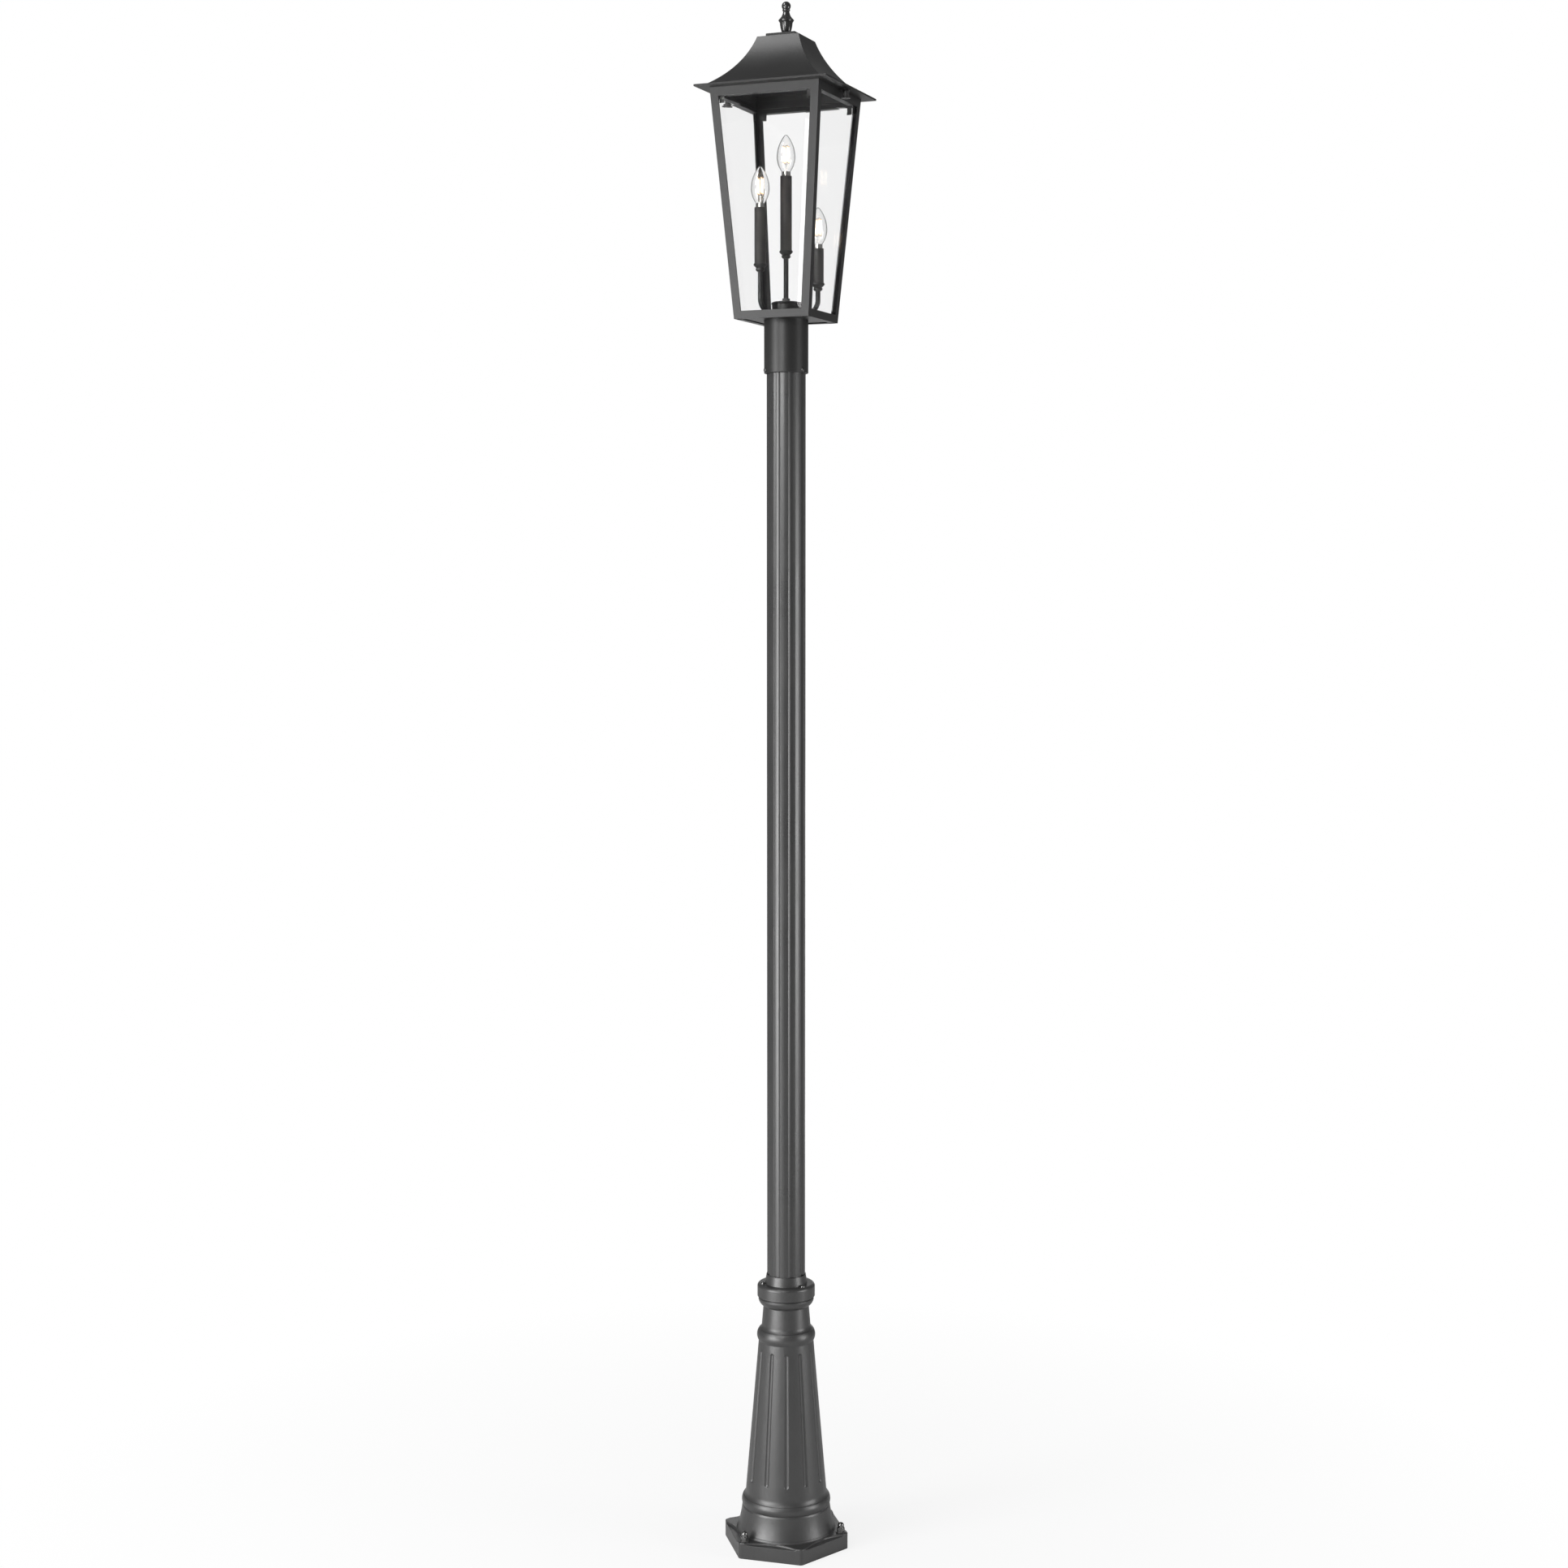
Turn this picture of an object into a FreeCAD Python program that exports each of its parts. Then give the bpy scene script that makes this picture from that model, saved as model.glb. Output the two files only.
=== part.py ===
import FreeCAD, Part
import math
import os

# Post lantern: a four-sided lantern that holds three candle lamps, on a fluted post
# that stands in a bell-shaped cast base with a hexagonal foot.
# Millimetres. +Z is up and the origin is on the ground, on the post's axis.
# The lantern's front pane faces -Y. Angles are in degrees, counted from +X towards +Y.

# General clearances and sheet
CURVED_GAP = 0.3
THREAD_GAP = 0.1
WIRE_R = 3.0

# Cast base: hexagonal foot
FOOT_R = 130.0
FOOT_HEIGHT = 32.0
FOOT_SIDES = 6
FOOT_TURN = 6.0
FOOT_CORNER_R = 8.0
FOOT_EDGE_R = 1.6
SCALLOP_DEPTH = 4.0
SCALLOP_COVE = 3.0
SCALLOP_CORNER = 10.0
SCALLOP_SAGITTA = 13.0

# Cast base: bell, whose skirt stands in from the foot's corners by a ledge
FOOT_LEDGE = 31.0
SKIRT_WAIST_INSET = 6.4
SKIRT_TOP_INSET = 10.2
SKIRT_HEIGHT = 47.0
LOW_GROOVE_DEPTH = 1.5
LOW_BEAD_SWELL = 2.3
LOW_BEAD_HEIGHT = 22.0
LOW_COVE_HEIGHT = 12.0
LOW_COVE_DEPTH = 6.0
CONE_TOP_R = 55.2
CONE_HEIGHT = 307.0
HIGH_BEAD_R = 58.7
HIGH_BEAD_HEIGHT = 24.0
HIGH_COVE_HEIGHT = 8.0
NECK_FOOT_R = 49.0
NECK_TOP_R = 45.7
NECK_HEIGHT = 39.0
OVOLO_R = 55.6
OVOLO_HEIGHT = 18.0
CAST_WALL = 6.5

# Flutes of the bell
BELL_FLUTES = 12
BELL_FLUTE_TURN = -7.5
BELL_FLUTE_FOOT_WIDTH = 10.5
BELL_FLUTE_TOP_WIDTH = 8.2
BELL_FLUTE_DEPTH = 2.1
BELL_FLUTE_FOOT_INSET = 22.0
BELL_FLUTE_TOP_INSET = 14.0

# Anchor holes and their cap nuts
ANCHORS = 3
ANCHOR_INSET = 15.0
ANCHOR_HOLE_R = 5.5
WASHER_R = 10.4
WASHER_THICK = 2.0
CAP_NUT_FLATS = 14.3
CAP_NUT_HEX_HEIGHT = 8.0
CAP_NUT_DOME_R = 6.4
CAP_NUT_DOME_RISE = 4.0
CAP_NUT_BORE_R = 4.0
CAP_NUT_BORE_DEPTH = 10.0

# Post
POST_R = 38.1
POST_BORE_R = 32.5
POST_LENGTH = 1969.7
POST_FLUTES = 8
POST_FLUTE_TURN = -6.0
POST_FLUTE_ANGLE = 22.0
POST_FLUTE_DEPTH = 2.3

# Coupling between the base and the post
SPIGOT_WALL = 4.2
SPIGOT_LENGTH = 39.0
POST_SEAT_THICK = 8.0
FLANGE_FOOT_R = 54.6
FLANGE_R = 57.8
FLANGE_CHAMFER = 2.5
FLANGE_HEIGHT = 28.0
FLANGE_ROUND = 6.0
CUP_FOOT_R = 42.4
CUP_RIM_WALL = 1.0
CUP_HEIGHT = 18.5
COUPLING_SCREWS = 3
COUPLING_SCREW_TURN = -24.0
COUPLING_SCREW_CIRCLE_R = 47.6
COUPLING_SCREW_R = 3.0
COUPLING_SCREW_LENGTH = 38.0
COUPLING_HEAD_R = 4.4
COUPLING_HEAD_HEIGHT = 3.2

# Fitter under the lantern
FITTER_R = 43.2
FITTER_BORE_GAP = 1.3
FITTER_SKIRT = 100.2
FITTER_PLATE = 3.0
FITTER_EDGE_R = 1.2
SET_SCREWS = 3
SET_SCREW_TURN = -19.0
SET_SCREW_RISE = 6.0
SET_SCREW_R = 2.5
SET_SCREW_LENGTH = 4.6
SET_SCREW_HEAD_R = 4.6
SET_SCREW_HEAD_HEIGHT = 2.4
PAN_SCREWS = 3
PAN_SCREW_CIRCLE_R = 36.0
PAN_SCREW_TURN = 41.0
PAN_SCREW_R = 2.0
PAN_SCREW_HEAD_R = 3.6
PAN_SCREW_HEAD_HEIGHT = 2.2

# Lantern cage
CAGE_FOOT_HALF = 77.5
CAGE_TOP_HALF = 112.4
CAGE_HEIGHT = 435.2
ANGLE_LEG = 16.0
ANGLE_THICK = 2.5
FOOT_RAIL_HEIGHT = 15.1
FOOT_RAIL_LEDGE = 12.0
TOP_RAIL_HEIGHT = 16.7
TOP_RAIL_LEDGE = 16.0
LEDGE_THICK = 2.0
LEDGE_NOTCH = 14.0
PAN_THICK = 2.0

# Glass panes and their clips
PANE_THICK = 3.0
PANE_EDGE_THICK = 1.6
PANE_BEVEL = 18.0
PANE_LAP = 8.0
PANE_GAP = 0.3
CLIP_WIDTH = 10.0
CLIP_THICK = 1.0
CLIP_DROP = 13.0

# Roof
EAVE_HALF = 135.5
EAVE_THICK = 3.5
ROOF_FOOT_HALF = 117.0
ROOF_FOOT_RISE = 6.4
ROOF_MID_HALF = 68.5
ROOF_MID_RISE = 53.0
ROOF_TOP_HALF = 42.9
ROOF_HEIGHT = 103.0
ROOF_WALL = 2.2
ROOF_LIP_DEPTH = 5.0
ROOF_LIP_GAP = 0.6
ROOF_LIP_THICK = 2.5
CAP_HALF = 30.2
CAP_THICK = 7.5
CAP_CHAMFER = 1.0

# Roof fixings
STUD_R = 2.5
STUD_OUT = 11.2
STUD_END_COVER = 2.0
EAR_R = 9.0
EAR_THICK = 2.5
THUMB_NUT_R = 6.0
THUMB_NUT_HEIGHT = 15.0
THUMB_NUT_RIM_R = 9.3
THUMB_NUT_RIM_THICK = 1.6

# Finial
FINIAL_FOOT_R = 6.8
FINIAL_FOOT_HEIGHT = 2.5
FINIAL_CUP_FOOT_R = 7.6
FINIAL_CUP_R = 12.4
FINIAL_CUP_HEIGHT = 21.0
FINIAL_DISC_R = 15.1
FINIAL_DISC_HEIGHT = 6.2
FINIAL_NECK_R = 6.1
FINIAL_NECK_HEIGHT = 15.3
FINIAL_BEAD_R = 7.5
FINIAL_BEAD_HEIGHT = 4.0
FINIAL_BALL_R = 8.8
FINIAL_ROD_R = 3.0
FINIAL_ROD_DROP = 22.0
FINIAL_NUT_FLATS = 10.0
FINIAL_NUT_HEIGHT = 4.0

# Candle cluster
HUB_R = 27.6
HUB_HEIGHT = 32.8
HUB_ROUND = 3.0
HUB_WALL = 2.0
HUB_RIM_R = 28.8
HUB_RIM_HEIGHT = 3.4
HUB_RIM_DROP = 2.2
HUB_NUT_FLATS = 14.0
HUB_NUT_HEIGHT = 6.6
ARM_R = 4.8
ARM_RISE = 12.0
ARM_REACH = 60.5
ARM_BEND_R = 24.0
ARM_ROOT = 3.0
FERRULE_R = 6.8
FERRULE_LENGTH = 4.0
CANDLE_R = 11.2
CANDLE_WALL = 0.9
BOBECHE_HEIGHT = 15.6
BOBECHE_R = 13.1
BOBECHE_BEAD_R = 9.0
BOBECHE_NECK_R = 7.8
BOBECHE_FOOT_R = 6.6
SOCKET_R = 9.8
SOCKET_LENGTH = 45.0
SOCKET_DEPTH = 30.0
SOCKET_RECESS = 2.3

# Candles: direction from the axis, reach, rise of the sleeve's foot over the pan, sleeve length
CANDLES = {
    "centre": (0.0, 0.0, 132.0, 142.0),
    "left": (-123.0, ARM_REACH, 102.9, 106.0),
    "right": (23.0, ARM_REACH, 69.9, 65.7),
}

# Candle lamps
LAMP_THREAD_R = 5.95
LAMP_THREAD_LENGTH = 20.0
LAMP_TIP_R = 3.0
LAMP_TIP_LENGTH = 2.5
LAMP_COLLAR_R = 8.75
LAMP_COLLAR_HEIGHT = 10.0
LAMP_COLLAR_FLOOR = 2.0
LAMP_NECK_R = 7.6
LAMP_NECK_HEIGHT = 7.4
LAMP_R = 17.9
LAMP_BELLY_RISE = 34.0
LAMP_HEIGHT = 79.0
LAMP_TIP_ROUND = 3.0
GLASS_WALL = 0.9
STEM_FOOT_R = 3.6
STEM_TOP_R = 1.5
STEM_HEIGHT = 24.0
FILAMENTS = 4
FILAMENT_R = 0.9
FILAMENT_CIRCLE_R = 4.4
FILAMENT_LENGTH = 34.0
FILAMENT_WIRE_R = 0.4
FILAMENT_HUB_R = 1.0
FILAMENT_HUB_HEIGHT = 2.0

# Heights that follow from the sizes above
SKIRT_Z = FOOT_HEIGHT + SKIRT_HEIGHT
LOW_BEAD_Z = SKIRT_Z + LOW_BEAD_HEIGHT
CONE_FOOT_Z = LOW_BEAD_Z + LOW_COVE_HEIGHT
CONE_TOP_Z = CONE_FOOT_Z + CONE_HEIGHT
HIGH_BEAD_Z = CONE_TOP_Z + HIGH_BEAD_HEIGHT
NECK_FOOT_Z = HIGH_BEAD_Z + HIGH_COVE_HEIGHT
NECK_TOP_Z = NECK_FOOT_Z + NECK_HEIGHT
CASTING_TOP_Z = NECK_TOP_Z + OVOLO_HEIGHT
SPIGOT_Z = CASTING_TOP_Z - SPIGOT_LENGTH
POST_FOOT_Z = SPIGOT_Z + POST_SEAT_THICK
POST_TOP_Z = POST_FOOT_Z + POST_LENGTH
FLANGE_TOP_Z = CASTING_TOP_Z + FLANGE_HEIGHT
FITTER_TOP_Z = POST_TOP_Z + FITTER_PLATE
CAGE_Z = FITTER_TOP_Z - LEDGE_THICK
PAN_TOP_Z = FITTER_TOP_Z + PAN_THICK
CAGE_TOP_Z = CAGE_Z + CAGE_HEIGHT
TOP_RAIL_Z = CAGE_TOP_Z - TOP_RAIL_HEIGHT
ROOF_TOP_Z = CAGE_TOP_Z + ROOF_HEIGHT
CAP_TOP_Z = ROOF_TOP_Z + CAP_THICK
HUB_TOP_Z = PAN_TOP_Z + HUB_HEIGHT
ARM_Z = PAN_TOP_Z + ARM_RISE

# Radii that follow from the sizes above
ANCHOR_CIRCLE_R = FOOT_R - ANCHOR_INSET
SKIRT_FOOT_R = FOOT_R - FOOT_LEDGE
SKIRT_WAIST_R = SKIRT_FOOT_R - SKIRT_WAIST_INSET
SKIRT_TOP_R = SKIRT_FOOT_R - SKIRT_TOP_INSET
LOW_GROOVE_R = SKIRT_TOP_R - LOW_GROOVE_DEPTH
LOW_BEAD_R = LOW_GROOVE_R + LOW_BEAD_SWELL
CONE_FOOT_R = LOW_GROOVE_R - LOW_COVE_DEPTH

# Radii that follow from a fit
POST_HOLE_R = POST_R + CURVED_GAP
SPIGOT_R = POST_HOLE_R + SPIGOT_WALL
CASTING_BORE_R = SPIGOT_R + CURVED_GAP
SOCKET_BORE_R = LAMP_THREAD_R + THREAD_GAP


def at(radius, height):
    return FreeCAD.Vector(radius, 0, height)


def outline(start, *steps):
    """Closed outline in the XZ plane. A step is an end point, or a pair: the arc's middle, its end."""
    here = at(*start)
    edges = []
    for step in (*steps, start):
        if isinstance(step[0], tuple):
            end = at(*step[1])
            edges.append(Part.Arc(here, at(*step[0]), end).toShape())
        else:
            end = at(*step)
            edges.append(Part.LineSegment(here, end).toShape())
        here = end
    return Part.Face(Part.Wire(edges))


def turned(start, *steps):
    """Solid turned about the Z axis from an outline of radius and height."""
    return outline(start, *steps).revolve(FreeCAD.Vector(0, 0, 0), FreeCAD.Vector(0, 0, 1), 360)


def tube(outer, inner, low, high):
    """Round tube about the Z axis."""
    bar = Part.makeCylinder(outer, high - low, at(0, low))
    return bar.cut(Part.makeCylinder(inner, high - low, at(0, low)))


def about_axis(shape, angle):
    moved = shape.copy()
    moved.rotate(FreeCAD.Vector(0, 0, 0), FreeCAD.Vector(0, 0, 1), angle)
    return moved


def shifted(shape, x, y, z=0.0):
    moved = shape.copy()
    moved.translate(FreeCAD.Vector(x, y, z))
    return moved


def on_circle(shape, radius, turn, count):
    """Copies of a shape on the Z axis, evenly spaced round a circle."""
    step = 360.0 / count
    return [about_axis(shifted(shape, radius, 0), turn + step * i) for i in range(count)]


def polygon_points(count, radius, turn, height):
    points = []
    for i in range(count):
        angle = math.radians(turn + 360.0 * i / count)
        points.append(FreeCAD.Vector(radius * math.cos(angle), radius * math.sin(angle), height))
    return points


def rounded_outline(points, radius):
    """Closed outline through the points with every corner rounded."""
    edges = []
    runs = []
    count = len(points)
    for i, corner in enumerate(points):
        back = (points[i - 1] - corner).normalize()
        ahead = (points[(i + 1) % count] - corner).normalize()
        half = back.getAngle(ahead) / 2
        reach = radius / math.tan(half)
        middle = (back + ahead).normalize() * (radius / math.sin(half) - radius)
        runs.append((corner + back * reach, corner + middle, corner + ahead * reach))
    for i, (first, middle, last) in enumerate(runs):
        edges.append(Part.Arc(first, middle, last).toShape())
        edges.append(Part.LineSegment(last, runs[(i + 1) % count][0]).toShape())
    return Part.Wire(edges)


def hex_prism(flats, low, height):
    points = polygon_points(6, flats / math.sqrt(3), 0, low)
    return Part.Face(Part.makePolygon(points + points[:1])).extrude(FreeCAD.Vector(0, 0, height))


def flat_box(x0, x1, y0, y1, z0, z1):
    corner = FreeCAD.Vector(min(x0, x1), min(y0, y1), z0)
    return Part.makeBox(abs(x1 - x0), abs(y1 - y0), z1 - z0, corner)


def tapered(low_points, high_points):
    """Solid with flat sides between two like outlines, each a list of (x, y, z)."""
    wires = []
    for points in (low_points, high_points):
        corners = [FreeCAD.Vector(*p) for p in points]
        wires.append(Part.makePolygon(corners + corners[:1]))
    return Part.makeLoft(wires, True, True)


# Cast base

def foot_scallop():
    """Round-bottomed disc that steps the foot's top down along one side."""
    chord = FOOT_R - 2 * SCALLOP_CORNER
    radius = (chord * chord / 4 + SCALLOP_SAGITTA ** 2) / (2 * SCALLOP_SAGITTA)
    floor = FOOT_HEIGHT - SCALLOP_DEPTH
    bend = SCALLOP_COVE * (1 - math.sqrt(0.5))
    disc = turned(
        (0, floor),
        (radius - SCALLOP_COVE, floor),
        ((radius - bend, floor + bend), (radius, floor + SCALLOP_COVE)),
        (radius, FOOT_HEIGHT + SCALLOP_COVE),
        (0, FOOT_HEIGHT + SCALLOP_COVE),
    )
    return disc, FOOT_R * math.cos(math.pi / FOOT_SIDES) - SCALLOP_SAGITTA + radius


def foot_plate():
    outline_wire = rounded_outline(polygon_points(FOOT_SIDES, FOOT_R, FOOT_TURN, 0), FOOT_CORNER_R)
    plate = Part.Face(outline_wire).extrude(FreeCAD.Vector(0, 0, FOOT_HEIGHT))
    rim = [e for e in plate.Edges if e.BoundBox.ZMin > FOOT_HEIGHT - 0.01]
    plate = plate.makeFillet(FOOT_EDGE_R, rim)
    disc, reach = foot_scallop()
    side = 180.0 / FOOT_SIDES
    return plate.cut(Part.makeCompound(on_circle(disc, reach, FOOT_TURN + side, FOOT_SIDES)))


def bell():
    """Skirt, lower bead, cone, upper bead, neck and the round shoulder under the coupling."""
    groove = 0.7
    step = 1.6
    return turned(
        (0, FOOT_HEIGHT - SCALLOP_DEPTH),
        (SKIRT_FOOT_R + step, FOOT_HEIGHT - SCALLOP_DEPTH),
        (SKIRT_FOOT_R + step, FOOT_HEIGHT),
        ((SKIRT_FOOT_R, FOOT_HEIGHT + step), (SKIRT_FOOT_R - step / 2, FOOT_HEIGHT + 3 * step)),
        ((SKIRT_WAIST_R, FOOT_HEIGHT + SKIRT_HEIGHT * 0.53), (SKIRT_TOP_R, SKIRT_Z)),
        (LOW_GROOVE_R, SKIRT_Z + 2 * step),
        ((LOW_BEAD_R, SKIRT_Z + LOW_BEAD_HEIGHT * 0.6), (LOW_GROOVE_R - groove, LOW_BEAD_Z)),
        (LOW_GROOVE_R - 3 * groove, LOW_BEAD_Z + groove),
        ((CONE_FOOT_R + groove, CONE_FOOT_Z - 3 * step), (CONE_FOOT_R, CONE_FOOT_Z)),
        (CONE_TOP_R, CONE_TOP_Z),
        ((HIGH_BEAD_R, CONE_TOP_Z + HIGH_BEAD_HEIGHT * 0.52), (CONE_TOP_R - groove, HIGH_BEAD_Z)),
        (CONE_TOP_R - 3 * groove, HIGH_BEAD_Z),
        ((NECK_FOOT_R + groove, NECK_FOOT_Z - 2 * step), (NECK_FOOT_R, NECK_FOOT_Z)),
        (NECK_TOP_R, NECK_TOP_Z),
        ((OVOLO_R - 2 * step, NECK_TOP_Z + OVOLO_HEIGHT / 3), (OVOLO_R, CASTING_TOP_Z - 3 * step)),
        (OVOLO_R, CASTING_TOP_Z - step),
        (FLANGE_FOOT_R, CASTING_TOP_Z),
        (0, CASTING_TOP_Z),
    )


def bell_hollow():
    """Space inside the base, open at the ground for the wiring, and the bore for the spigot."""
    below = -1.0
    return turned(
        (0, below),
        (SKIRT_FOOT_R - CAST_WALL, below),
        (SKIRT_FOOT_R - CAST_WALL, FOOT_HEIGHT / 2),
        (SKIRT_TOP_R - CAST_WALL, SKIRT_Z),
        (CONE_FOOT_R - CAST_WALL, CONE_FOOT_Z),
        (CONE_TOP_R - CAST_WALL, CONE_TOP_Z),
        (CASTING_BORE_R, NECK_FOOT_Z),
        (CASTING_BORE_R, CASTING_TOP_Z - below),
        (0, CASTING_TOP_Z - below),
    )


def groove_radius(width):
    """Radius of a round groove of the named depth and this width."""
    return (width * width / 4 + BELL_FLUTE_DEPTH ** 2) / (2 * BELL_FLUTE_DEPTH)


def bell_flute():
    """Tapered round-ended cutter that lies along the cone."""
    slope = (CONE_TOP_R - CONE_FOOT_R) / CONE_HEIGHT
    foot_r = groove_radius(BELL_FLUTE_FOOT_WIDTH)
    top_r = groove_radius(BELL_FLUTE_TOP_WIDTH)
    foot_z = BELL_FLUTE_FOOT_INSET + foot_r
    top_z = CONE_HEIGHT - BELL_FLUTE_TOP_INSET - top_r
    foot = at(CONE_FOOT_R + slope * foot_z + foot_r - BELL_FLUTE_DEPTH, CONE_FOOT_Z + foot_z)
    top = at(CONE_FOOT_R + slope * top_z + top_r - BELL_FLUTE_DEPTH, CONE_FOOT_Z + top_z)
    body = Part.makeCone(foot_r, top_r, (top - foot).Length, foot, top - foot)
    return body.fuse([Part.makeSphere(foot_r, foot), Part.makeSphere(top_r, top)])


def base_casting():
    step = 360.0 / BELL_FLUTES
    flute = bell_flute()
    flutes = [about_axis(flute, BELL_FLUTE_TURN + step * i) for i in range(BELL_FLUTES)]
    anchor = Part.makeCylinder(ANCHOR_HOLE_R, FOOT_HEIGHT * 2)
    anchors = on_circle(anchor, ANCHOR_CIRCLE_R, FOOT_TURN, ANCHORS)
    screw_depth = COUPLING_SCREW_LENGTH - FLANGE_HEIGHT + CURVED_GAP
    hole = Part.makeCylinder(COUPLING_SCREW_R + THREAD_GAP, screw_depth, at(0, CASTING_TOP_Z - screw_depth))
    holes = on_circle(hole, COUPLING_SCREW_CIRCLE_R, COUPLING_SCREW_TURN, COUPLING_SCREWS)
    return foot_plate().fuse(bell()).cut([bell_hollow(), *flutes, *anchors, *holes])


def anchor_washers():
    ring = tube(WASHER_R, ANCHOR_HOLE_R, FOOT_HEIGHT, FOOT_HEIGHT + WASHER_THICK)
    return on_circle(ring, ANCHOR_CIRCLE_R, FOOT_TURN, ANCHORS)


def anchor_nuts():
    """Cap nuts: a hexagon with a domed, closed top."""
    low = FOOT_HEIGHT + WASHER_THICK
    dome_z = low + CAP_NUT_HEX_HEIGHT
    across = CAP_NUT_FLATS / math.sqrt(3)
    trim = turned(
        (0, low),
        (across, low),
        (across, dome_z - 1.4),
        (CAP_NUT_FLATS / 2, dome_z),
        (0, dome_z),
    )
    round_z = dome_z + CAP_NUT_DOME_RISE
    bend = CAP_NUT_DOME_R * math.sqrt(0.5)
    dome = turned(
        (0, dome_z),
        (CAP_NUT_DOME_R, dome_z),
        (CAP_NUT_DOME_R, round_z),
        ((bend, round_z + bend), (0, round_z + CAP_NUT_DOME_R)),
    )
    nut = hex_prism(CAP_NUT_FLATS, low, CAP_NUT_HEX_HEIGHT).common(trim).fuse(dome)
    nut = nut.cut(Part.makeCylinder(CAP_NUT_BORE_R, CAP_NUT_BORE_DEPTH, at(0, low)))
    return on_circle(nut, ANCHOR_CIRCLE_R, FOOT_TURN, ANCHORS)


# Post and coupling

def post_tube():
    """Round tube with shallow round flutes all along it."""
    half = math.radians(POST_FLUTE_ANGLE / 2)
    pitch = 2 * math.pi / POST_FLUTES
    edges = []
    for i in range(POST_FLUTES):
        mid = math.radians(POST_FLUTE_TURN) + pitch * i

        def spot(angle, radius=POST_R):
            return FreeCAD.Vector(radius * math.cos(angle), radius * math.sin(angle), 0)

        groove = (spot(mid - half), spot(mid, POST_R - POST_FLUTE_DEPTH), spot(mid + half))
        edges.append(Part.Arc(*groove).toShape())
        land = (spot(mid + half), spot(mid + pitch / 2), spot(mid + pitch - half))
        edges.append(Part.Arc(*land).toShape())
    bar = Part.Face(Part.Wire(edges)).extrude(FreeCAD.Vector(0, 0, POST_LENGTH))
    bar = bar.cut(Part.makeCylinder(POST_BORE_R, POST_LENGTH))
    return shifted(bar, 0, 0, POST_FOOT_Z)


def post_coupling():
    """Flange on the base with a spigot below it, and a cup round the foot of the post."""
    bend = FLANGE_ROUND * (1 - math.sqrt(0.5))
    body = turned(
        (POST_BORE_R, SPIGOT_Z),
        (SPIGOT_R, SPIGOT_Z),
        (SPIGOT_R, CASTING_TOP_Z),
        (FLANGE_FOOT_R, CASTING_TOP_Z),
        (FLANGE_R, CASTING_TOP_Z + FLANGE_CHAMFER),
        (FLANGE_R, FLANGE_TOP_Z - FLANGE_ROUND),
        ((FLANGE_R - bend, FLANGE_TOP_Z - bend), (FLANGE_R - FLANGE_ROUND, FLANGE_TOP_Z)),
        (CUP_FOOT_R, FLANGE_TOP_Z),
        (POST_HOLE_R + CUP_RIM_WALL, FLANGE_TOP_Z + CUP_HEIGHT),
        (POST_HOLE_R, FLANGE_TOP_Z + CUP_HEIGHT),
        (POST_HOLE_R, POST_FOOT_Z),
        (POST_BORE_R, POST_FOOT_Z),
    )
    hole = Part.makeCylinder(COUPLING_SCREW_R + THREAD_GAP, FLANGE_HEIGHT, at(0, CASTING_TOP_Z))
    return body.cut(on_circle(hole, COUPLING_SCREW_CIRCLE_R, COUPLING_SCREW_TURN, COUPLING_SCREWS))


def coupling_screws():
    head_top = FLANGE_TOP_Z + COUPLING_HEAD_HEIGHT
    screw = turned(
        (0, FLANGE_TOP_Z - COUPLING_SCREW_LENGTH),
        (COUPLING_SCREW_R, FLANGE_TOP_Z - COUPLING_SCREW_LENGTH),
        (COUPLING_SCREW_R, FLANGE_TOP_Z),
        (COUPLING_HEAD_R, FLANGE_TOP_Z),
        ((COUPLING_HEAD_R * 0.82, head_top - COUPLING_HEAD_HEIGHT * 0.3), (COUPLING_HEAD_R * 0.5, head_top)),
        (0, head_top),
    )
    screw = screw.cut(hex_prism(COUPLING_HEAD_R * 0.8, head_top - 2, 2))
    return on_circle(screw, COUPLING_SCREW_CIRCLE_R, COUPLING_SCREW_TURN, COUPLING_SCREWS)


# Fitter

def set_screw_z():
    return FITTER_TOP_Z - FITTER_SKIRT - FITTER_PLATE + SET_SCREW_RISE


def fitter_cup():
    """Cap that slides over the top of the post and carries the lantern."""
    low = FITTER_TOP_Z - FITTER_SKIRT - FITTER_PLATE
    bore = POST_R + FITTER_BORE_GAP
    cup = turned(
        (WIRE_R * 3, POST_TOP_Z),
        (bore, POST_TOP_Z),
        (bore, low),
        (FITTER_R - FITTER_EDGE_R, low),
        (FITTER_R, low + FITTER_EDGE_R),
        (FITTER_R, FITTER_TOP_Z),
        (WIRE_R * 3, FITTER_TOP_Z),
    )
    x = FreeCAD.Vector(1, 0, 0)
    hole = Part.makeCylinder(SET_SCREW_R + THREAD_GAP, FITTER_R * 2, at(0, set_screw_z()), x)
    step = 360.0 / SET_SCREWS
    holes = [about_axis(hole, SET_SCREW_TURN + step * i) for i in range(SET_SCREWS)]
    pan_hole = Part.makeCylinder(PAN_SCREW_R + THREAD_GAP, FITTER_PLATE, at(0, POST_TOP_Z))
    pan_holes = on_circle(pan_hole, PAN_SCREW_CIRCLE_R, PAN_SCREW_TURN, PAN_SCREWS)
    return cup.cut([*holes, *pan_holes])


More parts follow.
